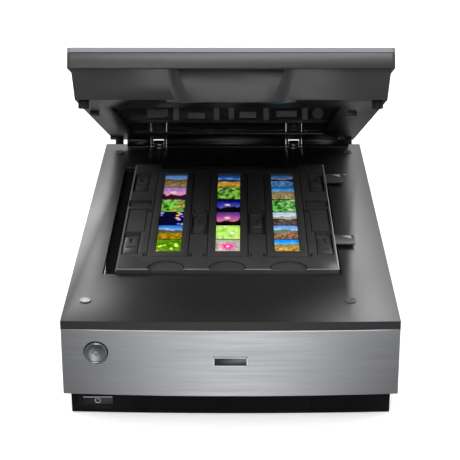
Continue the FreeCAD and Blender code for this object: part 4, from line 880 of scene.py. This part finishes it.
def make_world():
    """White studio to the eye. What the surfaces see is a narrow upright band of light behind the camera,
    dim surroundings beside it that brighten further round, and a wide band of light behind the object."""
    world = bpy.data.worlds.new("studio")
    bpy.context.scene.world = world
    world.use_nodes = True
    tree = world.node_tree

    def node(kind, **values):
        made = tree.nodes.new("ShaderNode" + kind)
        for key, value in values.items():
            setattr(made, key, value)
        return made

    def math_node(operation, first, second=0.0):
        made = node("Math", operation=operation)
        for index, source in enumerate((first, second)):
            if isinstance(source, (int, float)):
                made.inputs[index].default_value = source
            else:
                tree.links.new(source, made.inputs[index])
        return made.outputs[0]

    def ramp(source, low, high, from_low, from_high):
        made = node("MapRange", interpolation_type="SMOOTHSTEP")
        tree.links.new(source, made.inputs["Value"])
        sockets = {"From Min": from_low, "From Max": from_high, "To Min": low, "To Max": high}
        for socket, value in sockets.items():
            made.inputs[socket].default_value = value
        return made.outputs[0]

    direction = node("SeparateXYZ")
    tree.links.new(node("TexCoord").outputs["Generated"], direction.inputs[0])
    across, along, up = direction.outputs
    side = math_node("ABSOLUTE", across)
    band = ramp(side, BAND, 0.0, 0.0, 0.15)
    wings = ramp(side, FRONT, WINGS, 0.42, 0.75)
    front = math_node("ADD", math_node("MULTIPLY", band, ramp(up, 0.03, 1.0, -0.5, -0.41)), wings)
    high_back = math_node("MULTIPLY", ramp(up, 0.1, BACK, 0.32, 0.44), ramp(up, 1.0, 0.03, 0.5, 0.72))
    back = math_node("ADD", math_node("MULTIPLY", high_back, ramp(across, 1.0, 0.8, -0.1, 0.1)), BACK_FILL)
    behind = ramp(along, 0.0, 1.0, -0.15, 0.25)
    mixed = math_node("ADD", math_node("MULTIPLY", behind, back),
                      math_node("MULTIPLY", math_node("SUBTRACT", 1.0, behind), front))
    sight = node("LightPath").outputs["Is Camera Ray"]
    shown = math_node("ADD", math_node("MULTIPLY", sight, TO_CAMERA),
                      math_node("MULTIPLY", math_node("SUBTRACT", 1.0, sight), mixed))
    background = tree.nodes["Background"]
    background.inputs["Color"].default_value = (1, 1, 1, 1)
    tree.links.new(shown, background.inputs["Strength"])


def make_lights():
    make_world()
    area_light("key", place=(0.0, -1.5, 2.1), target=(0, -0.1, 0.1), size=(1.4, 1.0), power=17)


CAMERA_PLACE = (0.00875, -1.45185, 0.67402)
CAMERA_DOWN, CAMERA_ROUND = 21.978, 0.105       # degrees below the horizon, and to the left
LENS, SENSOR, SHIFT = 115.14, 36, (-0.01667, -0.00493)


def make_camera():
    data = bpy.data.cameras.new("camera")
    data.sensor_width = SENSOR
    data.lens = LENS
    data.shift_x, data.shift_y = SHIFT
    camera = bpy.data.objects.new("camera", data)
    bpy.context.scene.collection.objects.link(camera)
    camera.location = CAMERA_PLACE
    camera.rotation_euler = (math.radians(90 - CAMERA_DOWN), 0, math.radians(CAMERA_ROUND))
    bpy.context.scene.camera = camera
    bpy.context.scene.view_settings.view_transform = "Standard"


# ---------------------------------------------------------------- build

# Radius of the rounded edges of each softened node, in metres
EDGES = {
    "upper_housing": 0.0007, "front_panel": 0.0005, "base_tray": 0.0009, "lid_frame": 0.0012,
    "lid_cover": 0.0008, "holder_frame": 0.00035, "film_cover_left": 0.0002,
    "film_cover_middle": 0.0002, "film_cover_right": 0.0002, "hinge_post_left": 0.0003,
    "hinge_post_right": 0.0003, "power_button": 0.0003, "transport_lock": 0.0003, "mat_hooks": 0.0003,
    "lid_bumpers": 0.0005, "blank_badge": 0.0002, "ac_inlet": 0.0004, "signal_ports": 0.0003,
    "lid_light_unit": 0.0006,
}
ADJUSTER_EDGE = 0.0003

paint_nodes()
for node, width in EDGES.items():
    soften(node, width)
for node in NODES:
    if node.startswith("height_adjuster"):
        soften(node, ADJUSTER_EDGE)
for name in ("front_panel_soft", "upper_housing_soft", "base_tray_soft"):
    true_bow(bpy.data.objects[name])
paint_underside()
make_badge_border()
make_power_line()
make_pictures()
make_marks()
make_seam_shadows()
make_edge_sheen()
make_icons()
make_label()
make_hinge_fronts()
make_light_unit_front()
make_stage()
make_lights()
make_camera()
